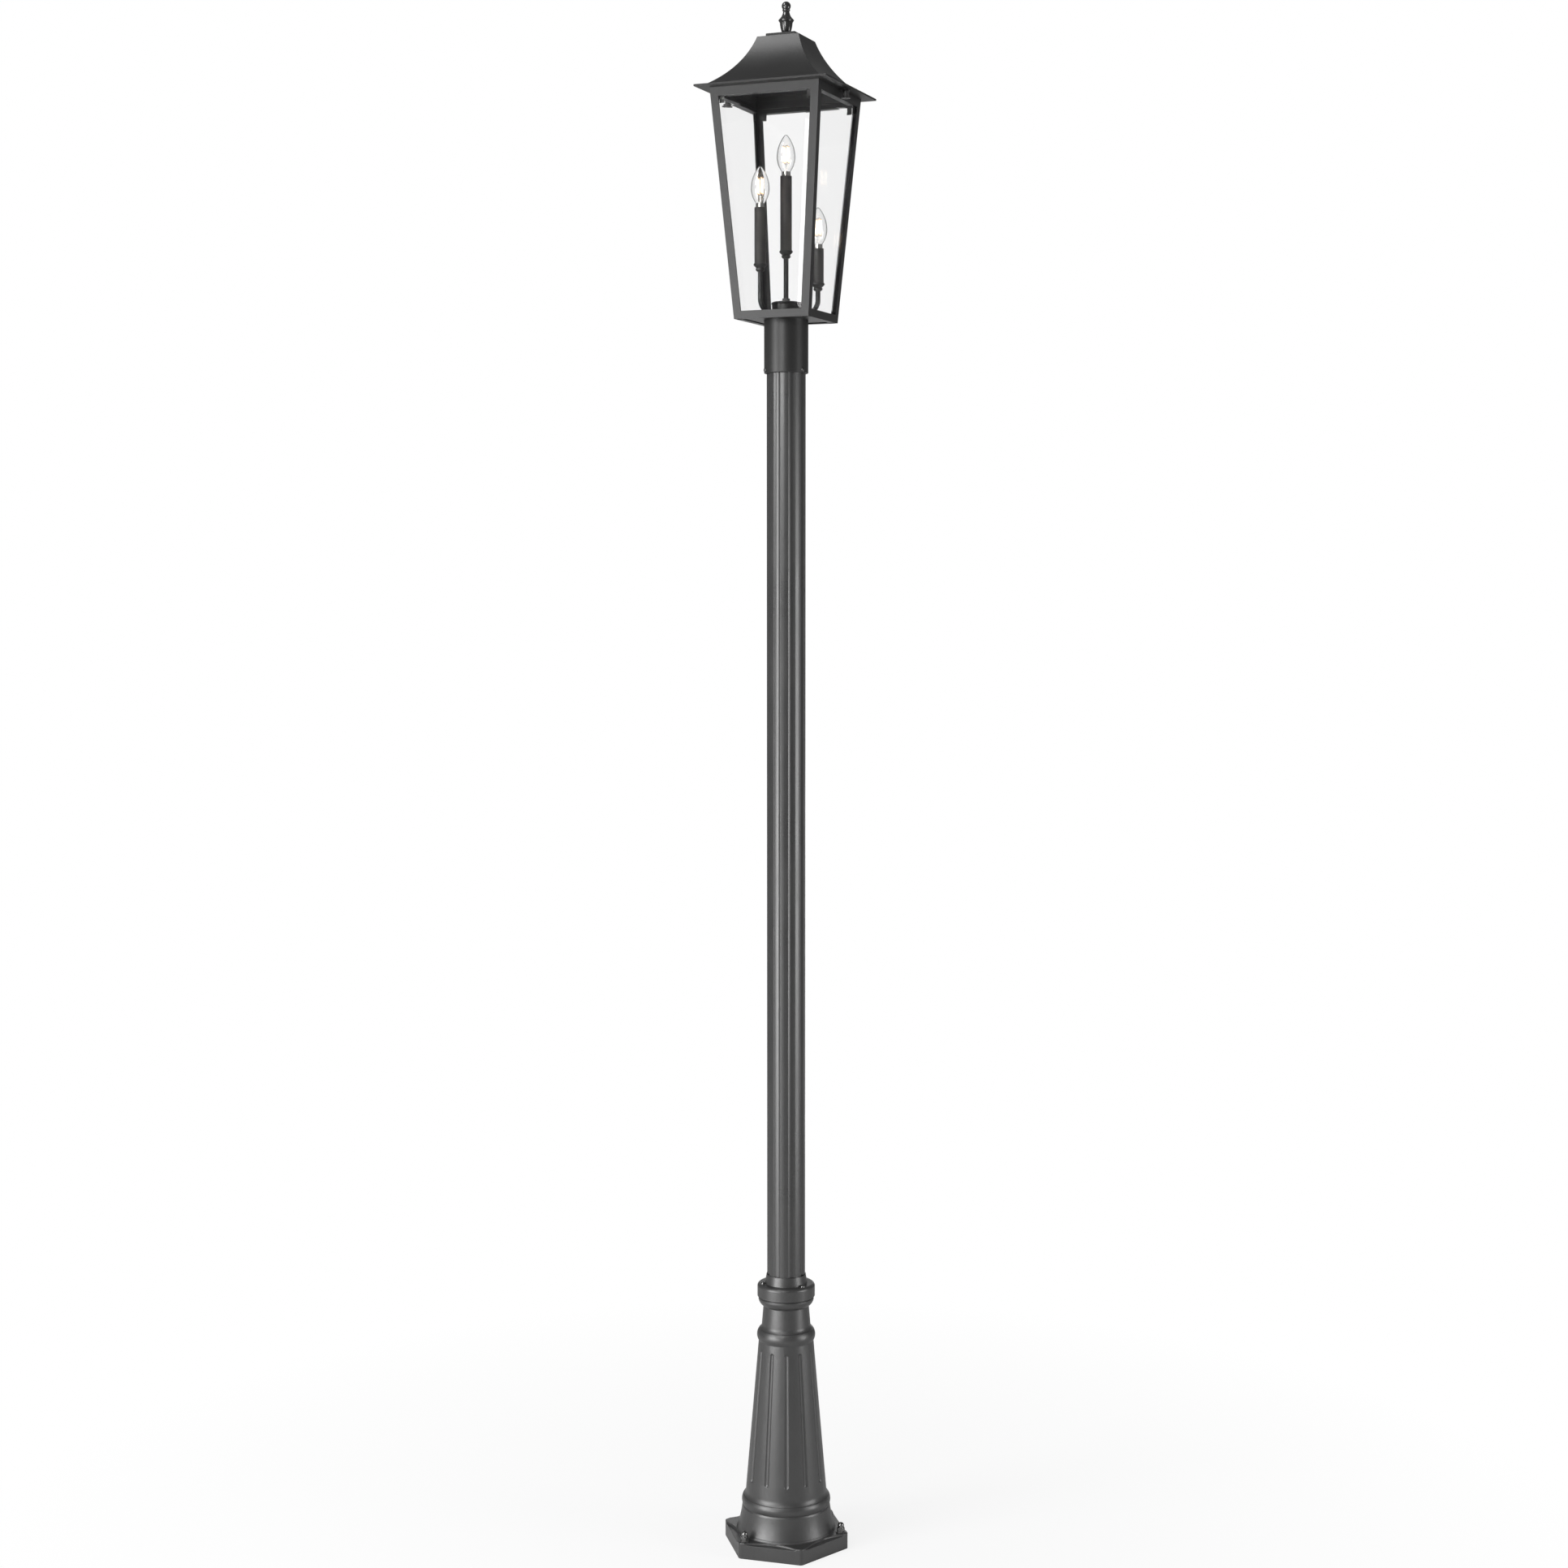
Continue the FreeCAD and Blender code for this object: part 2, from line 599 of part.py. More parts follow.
def set_screws():
    """Screws through the fitter's wall, with cross-slotted round heads."""
    x = FreeCAD.Vector(1, 0, 0)
    z = set_screw_z()
    shank = Part.makeCylinder(SET_SCREW_R, SET_SCREW_LENGTH, at(FITTER_R - SET_SCREW_LENGTH, z), x)
    head = turned(
        (0, 0),
        (SET_SCREW_HEAD_R, 0),
        ((SET_SCREW_HEAD_R * 0.8, SET_SCREW_HEAD_HEIGHT * 0.72), (0, SET_SCREW_HEAD_HEIGHT)),
    )
    slot = SET_SCREW_HEAD_R * 0.55
    wide = SET_SCREW_HEAD_R * 0.14
    deep = SET_SCREW_HEAD_HEIGHT * 0.45
    head = head.cut([
        flat_box(-slot, slot, -wide, wide, deep, SET_SCREW_HEAD_HEIGHT * 2),
        flat_box(-wide, wide, -slot, slot, deep, SET_SCREW_HEAD_HEIGHT * 2),
    ])
    head.rotate(FreeCAD.Vector(0, 0, 0), FreeCAD.Vector(0, 1, 0), 90)
    screw = shank.fuse(shifted(head, FITTER_R, 0, z))
    step = 360.0 / SET_SCREWS
    return [about_axis(screw, SET_SCREW_TURN + step * i) for i in range(SET_SCREWS)]


def pan_screws():
    head_top = PAN_TOP_Z + PAN_SCREW_HEAD_HEIGHT
    screw = turned(
        (0, POST_TOP_Z + CURVED_GAP),
        (PAN_SCREW_R, POST_TOP_Z + CURVED_GAP),
        (PAN_SCREW_R, PAN_TOP_Z),
        (PAN_SCREW_HEAD_R, PAN_TOP_Z),
        ((PAN_SCREW_HEAD_R * 0.82, head_top - PAN_SCREW_HEAD_HEIGHT * 0.3),
         (PAN_SCREW_HEAD_R * 0.4, head_top)),
        (0, head_top),
    )
    return on_circle(screw, PAN_SCREW_CIRCLE_R, PAN_SCREW_TURN, PAN_SCREWS)


# Lantern cage

FACES = {"front": 0.0, "right": 90.0, "back": 180.0, "left": 270.0}
CORNERS = {"front_left": 180.0, "front_right": 270.0, "back_right": 0.0, "back_left": 90.0}
CAGE_SLOPE = (CAGE_TOP_HALF - CAGE_FOOT_HALF) / CAGE_HEIGHT


def half_at(z):
    """Distance from the axis to the cage's outer faces at a height."""
    return CAGE_FOOT_HALF + CAGE_SLOPE * (z - CAGE_Z)


def corner_post(turn):
    """Leaning angle bar at one corner of the cage."""
    def section(z):
        a = half_at(z)
        inner = a - ANGLE_THICK
        end = a - ANGLE_LEG
        return [(a, a, z), (end, a, z), (end, inner, z), (inner, inner, z), (inner, end, z), (a, end, z)]

    return about_axis(tapered(section(CAGE_Z), section(CAGE_TOP_Z)), turn)


def rail_web(low, high):
    """Upright leg of a rail in the front face, between the corner posts."""
    def section(z):
        a = half_at(z)
        end = a - ANGLE_LEG
        return [(-end, -a, z), (end, -a, z), (end, ANGLE_THICK - a, z), (-end, ANGLE_THICK - a, z)]

    return tapered(section(low), section(high))


def rail_ledge(z, ledge, inset):
    """Level leg of a rail, turned inwards at the foot of its upright leg."""
    a = half_at(z)
    end = a - ANGLE_LEG - inset
    return flat_box(-end, end, ANGLE_THICK / 2 - a, ledge - a, z, z + LEDGE_THICK)


def foot_rail(turn):
    rail = rail_web(CAGE_Z, CAGE_Z + FOOT_RAIL_HEIGHT).fuse(rail_ledge(CAGE_Z, FOOT_RAIL_LEDGE, 0))
    return about_axis(rail, turn)


def top_rail(turn):
    rail = rail_web(TOP_RAIL_Z, CAGE_TOP_Z).fuse(rail_ledge(TOP_RAIL_Z, TOP_RAIL_LEDGE, LEDGE_NOTCH))
    return about_axis(rail, turn)


def bottom_pan():
    """Floor of the lantern, on the ledges of the foot rails and on the fitter."""
    half = half_at(FITTER_TOP_Z) - ANGLE_THICK - CURVED_GAP
    pan = flat_box(-half, half, -half, half, FITTER_TOP_Z, PAN_TOP_Z)
    hole = Part.makeCylinder(PAN_SCREW_R + THREAD_GAP, PAN_THICK, at(0, FITTER_TOP_Z))
    holes = on_circle(hole, PAN_SCREW_CIRCLE_R, PAN_SCREW_TURN, PAN_SCREWS)
    wire_hole = Part.makeCylinder(WIRE_R * 3, PAN_THICK, at(0, FITTER_TOP_Z))
    return pan.cut([wire_hole, *holes])


def leaned(shape, turn):
    """Places a shape drawn upright at y = 0 on the pan, against the inside of a face."""
    moved = shape.copy()
    lean = math.degrees(math.atan(CAGE_SLOPE))
    moved.rotate(FreeCAD.Vector(0, 0, 0), FreeCAD.Vector(1, 0, 0), lean)
    moved.translate(FreeCAD.Vector(0, ANGLE_THICK + PANE_GAP - half_at(PAN_TOP_Z), PAN_TOP_Z))
    return about_axis(moved, turn)


def pane_height():
    upright = TOP_RAIL_Z - PAN_TOP_Z - 2 * PANE_GAP
    return upright * math.sqrt(1 + CAGE_SLOPE ** 2)


def pane_outline(y, inset):
    """Corners of a pane, wider at the top, at a depth and drawn in by an inset."""
    height = pane_height()
    low = half_at(PAN_TOP_Z) - ANGLE_LEG + PANE_LAP
    high = half_at(TOP_RAIL_Z) - ANGLE_LEG + PANE_LAP
    lift = PANE_GAP
    grow = (high - low) / height
    foot = low - inset + grow * inset
    head = high - inset - grow * inset
    return [(-foot, y, lift + inset), (foot, y, lift + inset),
            (head, y, lift + height - inset), (-head, y, lift + height - inset)]


def glass_pane(turn):
    """Clear pane with a wide bevel round its inner side."""
    plate = tapered(pane_outline(0, 0), pane_outline(PANE_EDGE_THICK, 0))
    field = tapered(pane_outline(PANE_EDGE_THICK, 0), pane_outline(PANE_THICK, PANE_BEVEL))
    return leaned(plate.fuse(field).removeSplitter(), turn)


def glass_clips():
    """Bent tabs in the notches of the top rails, two to each pane."""
    top = PANE_GAP + pane_height() + PANE_GAP
    inner = PANE_THICK + CURVED_GAP
    clip = flat_box(0, CLIP_WIDTH, -PANE_GAP, inner + CLIP_THICK, top, top + CLIP_THICK)
    clip = clip.fuse(flat_box(0, CLIP_WIDTH, inner, inner + CLIP_THICK, top - CLIP_DROP, top + CLIP_THICK))
    edge = half_at(TOP_RAIL_Z) - ANGLE_LEG
    solids = []
    for turn in FACES.values():
        for x in (-edge + CURVED_GAP, edge - CURVED_GAP - CLIP_WIDTH):
            solids.append(leaned(shifted(clip, x, 0), turn))
    return solids


# Roof

def roof_block(grow, low):
    """Solid roof form: two crossed profiles with the same hollow curve. grow insets it for the inside."""
    foot_z = CAGE_TOP_Z + ROOF_FOOT_RISE
    mid_z = CAGE_TOP_Z + ROOF_MID_RISE
    arc = Part.Arc(at(ROOF_FOOT_HALF, foot_z), at(ROOF_MID_HALF, mid_z), at(ROOF_TOP_HALF, ROOF_TOP_Z))
    curve = arc.toShape().Curve
    centre = curve.Center
    radius = curve.Radius + grow

    def on_curve(z):
        return centre.x - math.sqrt(radius ** 2 - (centre.z - z) ** 2)

    top_z = ROOF_TOP_Z - grow
    if grow:
        half = half_at(CAGE_TOP_Z) - ANGLE_THICK - ROOF_LIP_GAP - ROOF_LIP_THICK
        start_z = centre.z - math.sqrt(radius ** 2 - (centre.x - half) ** 2)
        edge = [(half, low), (half, start_z)]
    else:
        half = ROOF_FOOT_HALF
        start_z = foot_z
        edge = [(EAVE_HALF, low), (EAVE_HALF, low + EAVE_THICK), (half, start_z)]
    mid = (start_z + top_z) / 2
    mirrored = [(-x, z) for x, z in reversed(edge)]
    face = outline(
        *edge,
        ((on_curve(mid), mid), (on_curve(top_z), top_z)),
        (-on_curve(top_z), top_z),
        ((-on_curve(mid), mid), mirrored[0]),
        *mirrored[1:],
    )
    long = 2 * EAVE_HALF
    bar = face.extrude(FreeCAD.Vector(0, long, 0))
    bar.translate(FreeCAD.Vector(0, -long / 2, 0))
    return bar.common(about_axis(bar, 90))


def roof_shell():
    """Hollow roof with a flat eave and a lip that drops inside the top of the cage."""
    outer = roof_block(0, CAGE_TOP_Z)
    lip = half_at(CAGE_TOP_Z) - ANGLE_THICK - ROOF_LIP_GAP
    low = CAGE_TOP_Z - ROOF_LIP_DEPTH
    shell = outer.fuse(flat_box(-lip, lip, -lip, lip, low, CAGE_TOP_Z))
    shell = shell.cut(roof_block(ROOF_WALL, low))
    rod_hole = Part.makeCylinder(FINIAL_ROD_R + THREAD_GAP, ROOF_WALL * 3, at(0, ROOF_TOP_Z - ROOF_WALL * 2))
    return shell.cut(rod_hole)


def roof_cap():
    half = CAP_HALF
    low = ROOF_TOP_Z
    cap = flat_box(-half, half, -half, half, low, CAP_TOP_Z)
    edges = [e for e in cap.Edges if e.BoundBox.ZMin > CAP_TOP_Z - 0.01]
    cap = cap.makeChamfer(CAP_CHAMFER, edges)
    return cap.cut(Part.makeCylinder(FINIAL_ROD_R + THREAD_GAP, CAP_THICK, at(0, low)))


def stud_x():
    return CAGE_TOP_HALF + STUD_OUT


def ear_foot_z():
    return CAGE_TOP_Z - CURVED_GAP - EAR_THICK


def roof_ears():
    """Round-ended tabs on the side rails that the roof's studs pass through."""
    low = ear_foot_z()
    root = half_at(low + EAR_THICK)
    plate = flat_box(root, stud_x(), -EAR_R, EAR_R, low, low + EAR_THICK)
    plate = plate.fuse(Part.makeCylinder(EAR_R, EAR_THICK, at(stud_x(), low)))
    ear = plate.cut(Part.makeCylinder(STUD_R + CURVED_GAP, EAR_THICK, at(stud_x(), low)))
    return [about_axis(ear, turn) for turn in (0, 180)]


def thumb_nut(turn):
    """Spool-shaped nut: a barrel with a thin rim at its foot."""
    top = ear_foot_z() - CURVED_GAP
    low = top - THUMB_NUT_HEIGHT
    bore = STUD_R + THREAD_GAP
    nut = turned(
        (bore, low),
        (THUMB_NUT_RIM_R - 0.5, low),
        (THUMB_NUT_RIM_R, low + THUMB_NUT_RIM_THICK / 2),
        (THUMB_NUT_RIM_R - 0.5, low + THUMB_NUT_RIM_THICK),
        (THUMB_NUT_R, low + THUMB_NUT_RIM_THICK),
        (THUMB_NUT_R, top - 0.8),
        (THUMB_NUT_R - 0.8, top),
        (bore, top),
    )
    return about_axis(shifted(nut, stud_x(), 0), turn)


def roof_studs():
    low = ear_foot_z() - CURVED_GAP - THUMB_NUT_HEIGHT + STUD_END_COVER
    stud = Part.makeCylinder(STUD_R, CAGE_TOP_Z - low, at(stud_x(), low))
    return [about_axis(stud, turn) for turn in (0, 180)]


def finial():
    """Turned knob with its threaded rod, which runs down through the cap and the roof."""
    low = CAP_TOP_Z
    cup_z = low + FINIAL_FOOT_HEIGHT + FINIAL_CUP_HEIGHT
    disc_z = cup_z + FINIAL_DISC_HEIGHT
    neck_z = disc_z + FINIAL_NECK_HEIGHT
    bead_z = neck_z + FINIAL_BEAD_HEIGHT
    ball_drop = math.sqrt(FINIAL_BALL_R ** 2 - (FINIAL_NECK_R + 0.5) ** 2)
    ball_z = bead_z + ball_drop
    rod_end = low - FINIAL_ROD_DROP
    return turned(
        (0, rod_end),
        (FINIAL_ROD_R, rod_end),
        (FINIAL_ROD_R, low),
        (FINIAL_FOOT_R, low),
        (FINIAL_FOOT_R, low + FINIAL_FOOT_HEIGHT),
        (FINIAL_CUP_FOOT_R, low + FINIAL_FOOT_HEIGHT),
        ((FINIAL_CUP_R - 1.6, low + FINIAL_CUP_HEIGHT * 0.6), (FINIAL_CUP_R, cup_z)),
        ((FINIAL_DISC_R - 1.0, cup_z + FINIAL_DISC_HEIGHT * 0.4),
         (FINIAL_DISC_R, cup_z + FINIAL_DISC_HEIGHT * 0.7)),
        (FINIAL_DISC_R - 1.2, disc_z),
        ((FINIAL_NECK_R + 2.6, disc_z + FINIAL_NECK_HEIGHT * 0.42), (FINIAL_NECK_R, neck_z)),
        ((FINIAL_BEAD_R, neck_z + FINIAL_BEAD_HEIGHT / 2), (FINIAL_NECK_R + 0.5, bead_z)),
        ((FINIAL_BALL_R, ball_z), (0, ball_z + FINIAL_BALL_R)),
    )


def finial_nut():
    low = ROOF_TOP_Z - ROOF_WALL - FINIAL_NUT_HEIGHT
    nut = hex_prism(FINIAL_NUT_FLATS, low, FINIAL_NUT_HEIGHT)
    return nut.cut(Part.makeCylinder(FINIAL_ROD_R + THREAD_GAP, FINIAL_NUT_HEIGHT, at(0, low)))


# Candle cluster

def hub():
    """Upside-down cup on the pan, where the arms and the centre stem come together."""
    bend = HUB_ROUND * (1 - math.sqrt(0.5))
    rim_z = HUB_TOP_Z - HUB_RIM_DROP
    body = turned(
        (HUB_R - HUB_WALL, PAN_TOP_Z),
        (HUB_R, PAN_TOP_Z),
        (HUB_R, rim_z - HUB_RIM_HEIGHT),
        ((HUB_RIM_R, rim_z - HUB_RIM_HEIGHT / 2), (HUB_R - bend, HUB_TOP_Z - bend)),
        (HUB_R - HUB_ROUND, HUB_TOP_Z),
        (ARM_R + THREAD_GAP, HUB_TOP_Z),
        (ARM_R + THREAD_GAP, HUB_TOP_Z - HUB_WALL),
        (HUB_R - HUB_WALL, HUB_TOP_Z - HUB_WALL),
    )
    hole = Part.makeCylinder(ARM_R + THREAD_GAP, HUB_R * 2, at(0, ARM_Z), FreeCAD.Vector(1, 0, 0))
    return body.cut([about_axis(hole, turn) for turn, reach, _, _ in CANDLES.values() if reach])


def hub_nut():
    nut = hex_prism(HUB_NUT_FLATS, HUB_TOP_Z, HUB_NUT_HEIGHT)
    return nut.cut(Part.makeCylinder(ARM_R + THREAD_GAP, HUB_NUT_HEIGHT, at(0, HUB_TOP_Z)))


def sleeve_foot(name):
    return PAN_TOP_Z + CANDLES[name][2]


def sleeve_top(name):
    return sleeve_foot(name) + CANDLES[name][3]


def socket_foot(name):
    return sleeve_top(name) - SOCKET_RECESS - SOCKET_LENGTH


def candle_stem(name):
    """Steel tube from the hub up to the lamp socket, straight or with one swept bend."""
    turn, reach, _, _ = CANDLES[name]
    top = socket_foot(name)
    if not reach:
        return tube(ARM_R, WIRE_R, HUB_TOP_Z - HUB_WALL, top)
    root = HUB_R - HUB_WALL - ARM_ROOT
    bend = ARM_BEND_R * (1 - math.sqrt(0.5))
    run = Part.LineSegment(at(root, ARM_Z), at(reach - ARM_BEND_R, ARM_Z)).toShape()
    turn_up = Part.Arc(
        at(reach - ARM_BEND_R, ARM_Z),
        at(reach - bend, ARM_Z + bend),
        at(reach, ARM_Z + ARM_BEND_R),
    ).toShape()
    rise = Part.LineSegment(at(reach, ARM_Z + ARM_BEND_R), at(reach, top)).toShape()
    path = Part.Wire([run, turn_up, rise])
    x = FreeCAD.Vector(1, 0, 0)
    solids = []
    for radius in (ARM_R, WIRE_R):
        ring = Part.Wire(Part.makeCircle(radius, at(root, ARM_Z), x))
        solids.append(path.makePipeShell([ring], True, False))
    return about_axis(solids[0].cut(solids[1]), turn)


def arm_ferrules():
    """Collars where the two bent arms enter the hub."""
    x = FreeCAD.Vector(1, 0, 0)
    start = at(HUB_R - HUB_WALL, ARM_Z)
    length = FERRULE_LENGTH + HUB_WALL
    ring = Part.makeCylinder(FERRULE_R, length, start, x)
    ring = ring.cut(Part.makeCylinder(ARM_R + THREAD_GAP, length, start, x))
    ring = ring.cut(Part.makeCylinder(HUB_R + CURVED_GAP, HUB_HEIGHT, at(0, PAN_TOP_Z)))
    return [about_axis(ring, turn) for turn, reach, _, _ in CANDLES.values() if reach]


def placed(shape, name):
    """Moves a shape from the axis to where a candle stands."""
    turn, reach, _, _ = CANDLES[name]
    return about_axis(shifted(shape, reach, 0), turn)


def bobeche(name):
    """Turned cup under a candle sleeve."""
    low = sleeve_foot(name) - BOBECHE_HEIGHT
    cup = turned(
        (ARM_R + THREAD_GAP, low),
        (BOBECHE_FOOT_R, low),
        (BOBECHE_BEAD_R, low + 2.8),
        (BOBECHE_BEAD_R, low + 4.2),
        (BOBECHE_NECK_R, low + 6.4),
        (BOBECHE_R, low + 12.0),
        (BOBECHE_R, low + 13.8),
        (CANDLE_R + 0.4, low + BOBECHE_HEIGHT),
        (ARM_R + THREAD_GAP, low + BOBECHE_HEIGHT),
    )
    return placed(cup, name)


def candle_sleeve(name):
    return placed(tube(CANDLE_R, CANDLE_R - CANDLE_WALL, sleeve_foot(name), sleeve_top(name)), name)


def lamp_socket(name):
    """Lamp holder inside the sleeve, screwed on the end of the stem."""
    low = socket_foot(name)
    high = low + SOCKET_LENGTH
    body = Part.makeCylinder(SOCKET_R, SOCKET_LENGTH, at(0, low))
    bore = Part.makeCylinder(SOCKET_BORE_R, SOCKET_DEPTH, at(0, high - SOCKET_DEPTH))
    wire_hole = Part.makeCylinder(WIRE_R, SOCKET_LENGTH, at(0, low))
    return placed(body.cut([bore, wire_hole]), name)


def collar_z(name):
    """Height of the lamp collar's underside, just above its socket."""
    return sleeve_top(name) - SOCKET_RECESS + CURVED_GAP


def bulb_base(name):
    """Polished collar that holds the glass, with the screw shell and contact below it."""
    low = collar_z(name)
    floor = low + LAMP_COLLAR_FLOOR
    top = low + LAMP_COLLAR_HEIGHT
    shell_end = low - LAMP_THREAD_LENGTH
    cup_r = LAMP_NECK_R + CURVED_GAP
    base = turned(
        (0, shell_end - LAMP_TIP_LENGTH),
        (LAMP_TIP_R, shell_end - LAMP_TIP_LENGTH),
        (LAMP_TIP_R, shell_end),
        (LAMP_THREAD_R, shell_end),
        (LAMP_THREAD_R, low),
        (LAMP_COLLAR_R, low),
        (LAMP_COLLAR_R, top),
        (cup_r, top),
        (cup_r, floor),
        (0, floor),
    )
    return placed(base, name)


def glass_form(wall, low):
    """Candle form of the bulb, drawn in by a wall."""
    belly = low + LAMP_BELLY_RISE
    neck = low + LAMP_NECK_HEIGHT
    top = low + LAMP_HEIGHT - wall
    tip = LAMP_TIP_ROUND
    return turned(
        (0, low),
        (LAMP_NECK_R - wall, low),
        (LAMP_NECK_R - wall, neck),
        ((LAMP_NECK_R + 6.6 - wall, neck + 11.0), (LAMP_R - wall, belly)),
        ((LAMP_R - 4.6 - wall, belly + 26.0), (tip - wall / 2, top - tip / 2)),
        (0, top),
    )


def bulb_glass(name):
    low = collar_z(name) + LAMP_COLLAR_FLOOR
    return placed(glass_form(0, low).cut(glass_form(GLASS_WALL, low)), name)


def bulb_filament(name):
    """Glass stem that carries upright filament sticks between two wire crosses."""
    low = collar_z(name) + LAMP_COLLAR_FLOOR
    stem = Part.makeCone(STEM_FOOT_R, STEM_TOP_R, STEM_HEIGHT, at(0, low))
    foot_z = low + STEM_HEIGHT - FILAMENT_WIRE_R
    stick = Part.makeCylinder(FILAMENT_R, FILAMENT_LENGTH, at(0, foot_z))
    pieces = on_circle(stick, FILAMENT_CIRCLE_R, 45, FILAMENTS)
    mast_length = FILAMENT_LENGTH - FILAMENT_HUB_HEIGHT
    pieces.append(Part.makeCylinder(FILAMENT_WIRE_R, mast_length, at(0, foot_z + FILAMENT_R)))
    x = FreeCAD.Vector(1, 0, 0)
    for hub_z in (foot_z, foot_z + FILAMENT_LENGTH - FILAMENT_HUB_HEIGHT):
        pieces.append(Part.makeCylinder(FILAMENT_HUB_R, FILAMENT_HUB_HEIGHT, at(0, hub_z)))
        start = at(FILAMENT_WIRE_R, hub_z + FILAMENT_HUB_HEIGHT / 2)
        spoke = Part.makeCylinder(FILAMENT_WIRE_R, FILAMENT_CIRCLE_R - FILAMENT_WIRE_R, start, x)
        pieces += [about_axis(spoke, 45 + 360.0 * i / FILAMENTS) for i in range(FILAMENTS)]
    return placed(stem.fuse(pieces), name)


def save(name, shape):
    """Writes one sub-part. A list is a group of separate solids."""
    if isinstance(shape, list):
        shape = Part.makeCompound([s.Solids[0] for s in shape])
    elif len(shape.Solids) == 1:
        shape = shape.Solids[0]
    shape.exportStep(f"parts/{name}.step")


def main():
    os.makedirs("parts", exist_ok=True)
    save("base_casting", base_casting())
    save("anchor_washers", anchor_washers())
    save("anchor_nuts", anchor_nuts())
    save("post_coupling", post_coupling())
    save("coupling_screws", coupling_screws())
    save("post_tube", post_tube())
    save("fitter_cup", fitter_cup())
    save("fitter_set_screws", set_screws())
    save("bottom_pan", bottom_pan())
    save("pan_screws", pan_screws())
    for name, turn in CORNERS.items():
        save(f"corner_post_{name}", corner_post(turn))
    for name, turn in FACES.items():
        save(f"foot_rail_{name}", foot_rail(turn))
        save(f"top_rail_{name}", top_rail(turn))
        save(f"glass_pane_{name}", glass_pane(turn))
    save("glass_clips", glass_clips())
    save("roof_ears", roof_ears())
    save("roof_shell", roof_shell())
    save("roof_cap", roof_cap())
    save("roof_studs", roof_studs())
    save("thumb_nut_right", thumb_nut(0))
    save("thumb_nut_left", thumb_nut(180))
    save("finial", finial())
    save("finial_nut", finial_nut())
    save("candle_hub", hub())
    save("hub_nut", hub_nut())
    save("arm_ferrules", arm_ferrules())
    for name in CANDLES:
        save(f"candle_stem_{name}", candle_stem(name))
        save(f"bobeche_{name}", bobeche(name))
        save(f"candle_sleeve_{name}", candle_sleeve(name))
        save(f"lamp_socket_{name}", lamp_socket(name))
        save(f"bulb_base_{name}", bulb_base(name))
        save(f"bulb_glass_{name}", bulb_glass(name))
        save(f"bulb_filament_{name}", bulb_filament(name))


main()
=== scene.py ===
import bpy
import bmesh
import math
from collections import namedtuple
from mathutils import Matrix, Vector


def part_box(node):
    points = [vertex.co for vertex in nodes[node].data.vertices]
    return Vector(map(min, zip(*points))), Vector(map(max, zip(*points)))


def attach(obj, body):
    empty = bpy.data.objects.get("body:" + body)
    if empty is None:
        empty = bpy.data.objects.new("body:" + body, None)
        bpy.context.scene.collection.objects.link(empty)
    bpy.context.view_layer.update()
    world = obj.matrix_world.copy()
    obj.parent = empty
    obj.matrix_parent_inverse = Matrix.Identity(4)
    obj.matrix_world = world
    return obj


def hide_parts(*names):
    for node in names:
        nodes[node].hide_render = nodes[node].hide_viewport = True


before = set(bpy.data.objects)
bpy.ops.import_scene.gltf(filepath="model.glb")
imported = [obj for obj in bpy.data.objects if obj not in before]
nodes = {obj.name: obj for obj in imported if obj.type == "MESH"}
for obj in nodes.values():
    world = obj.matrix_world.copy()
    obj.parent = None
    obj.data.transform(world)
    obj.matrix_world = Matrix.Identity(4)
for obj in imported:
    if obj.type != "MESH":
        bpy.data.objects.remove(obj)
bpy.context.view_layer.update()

# Lengths are in metres, angles in degrees and powers in watts, unless the name says otherwise.

# Camera, fitted to a square photograph with the post's axis a little right of its centre, by the offset.
PHOTO_PIXELS = 1932
FOCAL_PIXELS = 3042.0
AXIS_OFFSET_PIXELS = 2.7
SENSOR_MM = 36.0
CAMERA_AZIMUTH = 22.31
CAMERA_DISTANCE = 4.871
CAMERA_HEIGHT = 1.950
CAMERA_PITCH = 4.77

# Softboxes. Each stands at a bearing from the camera's and points at the post's axis at its aim height.
Softbox = namedtuple("Softbox", "name bearing distance height aim size power")
SOFTBOXES = (
    Softbox("key", -58, 3.4, 1.5, 1.5, (1.1, 3.0), 112),
    Softbox("low_key", -37, 3.4, 0.75, 0.75, (1.2, 1.5), 34),
    Softbox("high_key", -23, 3.4, 2.95, 2.95, (0.9, 1.1), 40),
    Softbox("fill", 70, 3.8, 1.2, 1.2, (1.2, 2.3), 65),
    Softbox("overhead", -62, 2.2, 5.1, 2.9, (1.2, 1.2), 66),
    Softbox("back", 176, 3.4, 0.65, 0.65, (1.8, 1.3), 12),
)

# World strengths: as light on the object, in its mirror-like reflections, and as the camera sees it.
AMBIENT = 0.30
GLOSS_SURROUND = 0.2
BACKDROP = 1.0

# Floor. The weight is the share of its real shading that the camera sees, up to the core's radius.
# From there it fades to none at the reach.
FLOOR_RADIUS = 60.0
FLOOR_DROP = 0.0005
FLOOR_SEGMENTS = 96
SHADOW_CORE = 0.15
SHADOW_REACH = 1.7
SHADOW_WEIGHT = 0.16

# Lamp insides: a glass stem, and lit sticks on a ring, each between two caps that wires join to the axis.
STICK_COUNT = 4
STICK_RING_RADIUS = 0.0058
STICK_RADIUS = 0.0012
STICK_LENGTH = 0.034
CAP_RADIUS = STICK_RADIUS * 0.8
CAP_LENGTH = 0.0016
CAP_OVERLAP = 0.0004
WIRE_RADIUS = 0.00028
WIRE_TAIL = 0.004
WIRE_DROP = 0.0012
STEM_HEIGHT = 0.024
STEM_SEGMENTS = 32
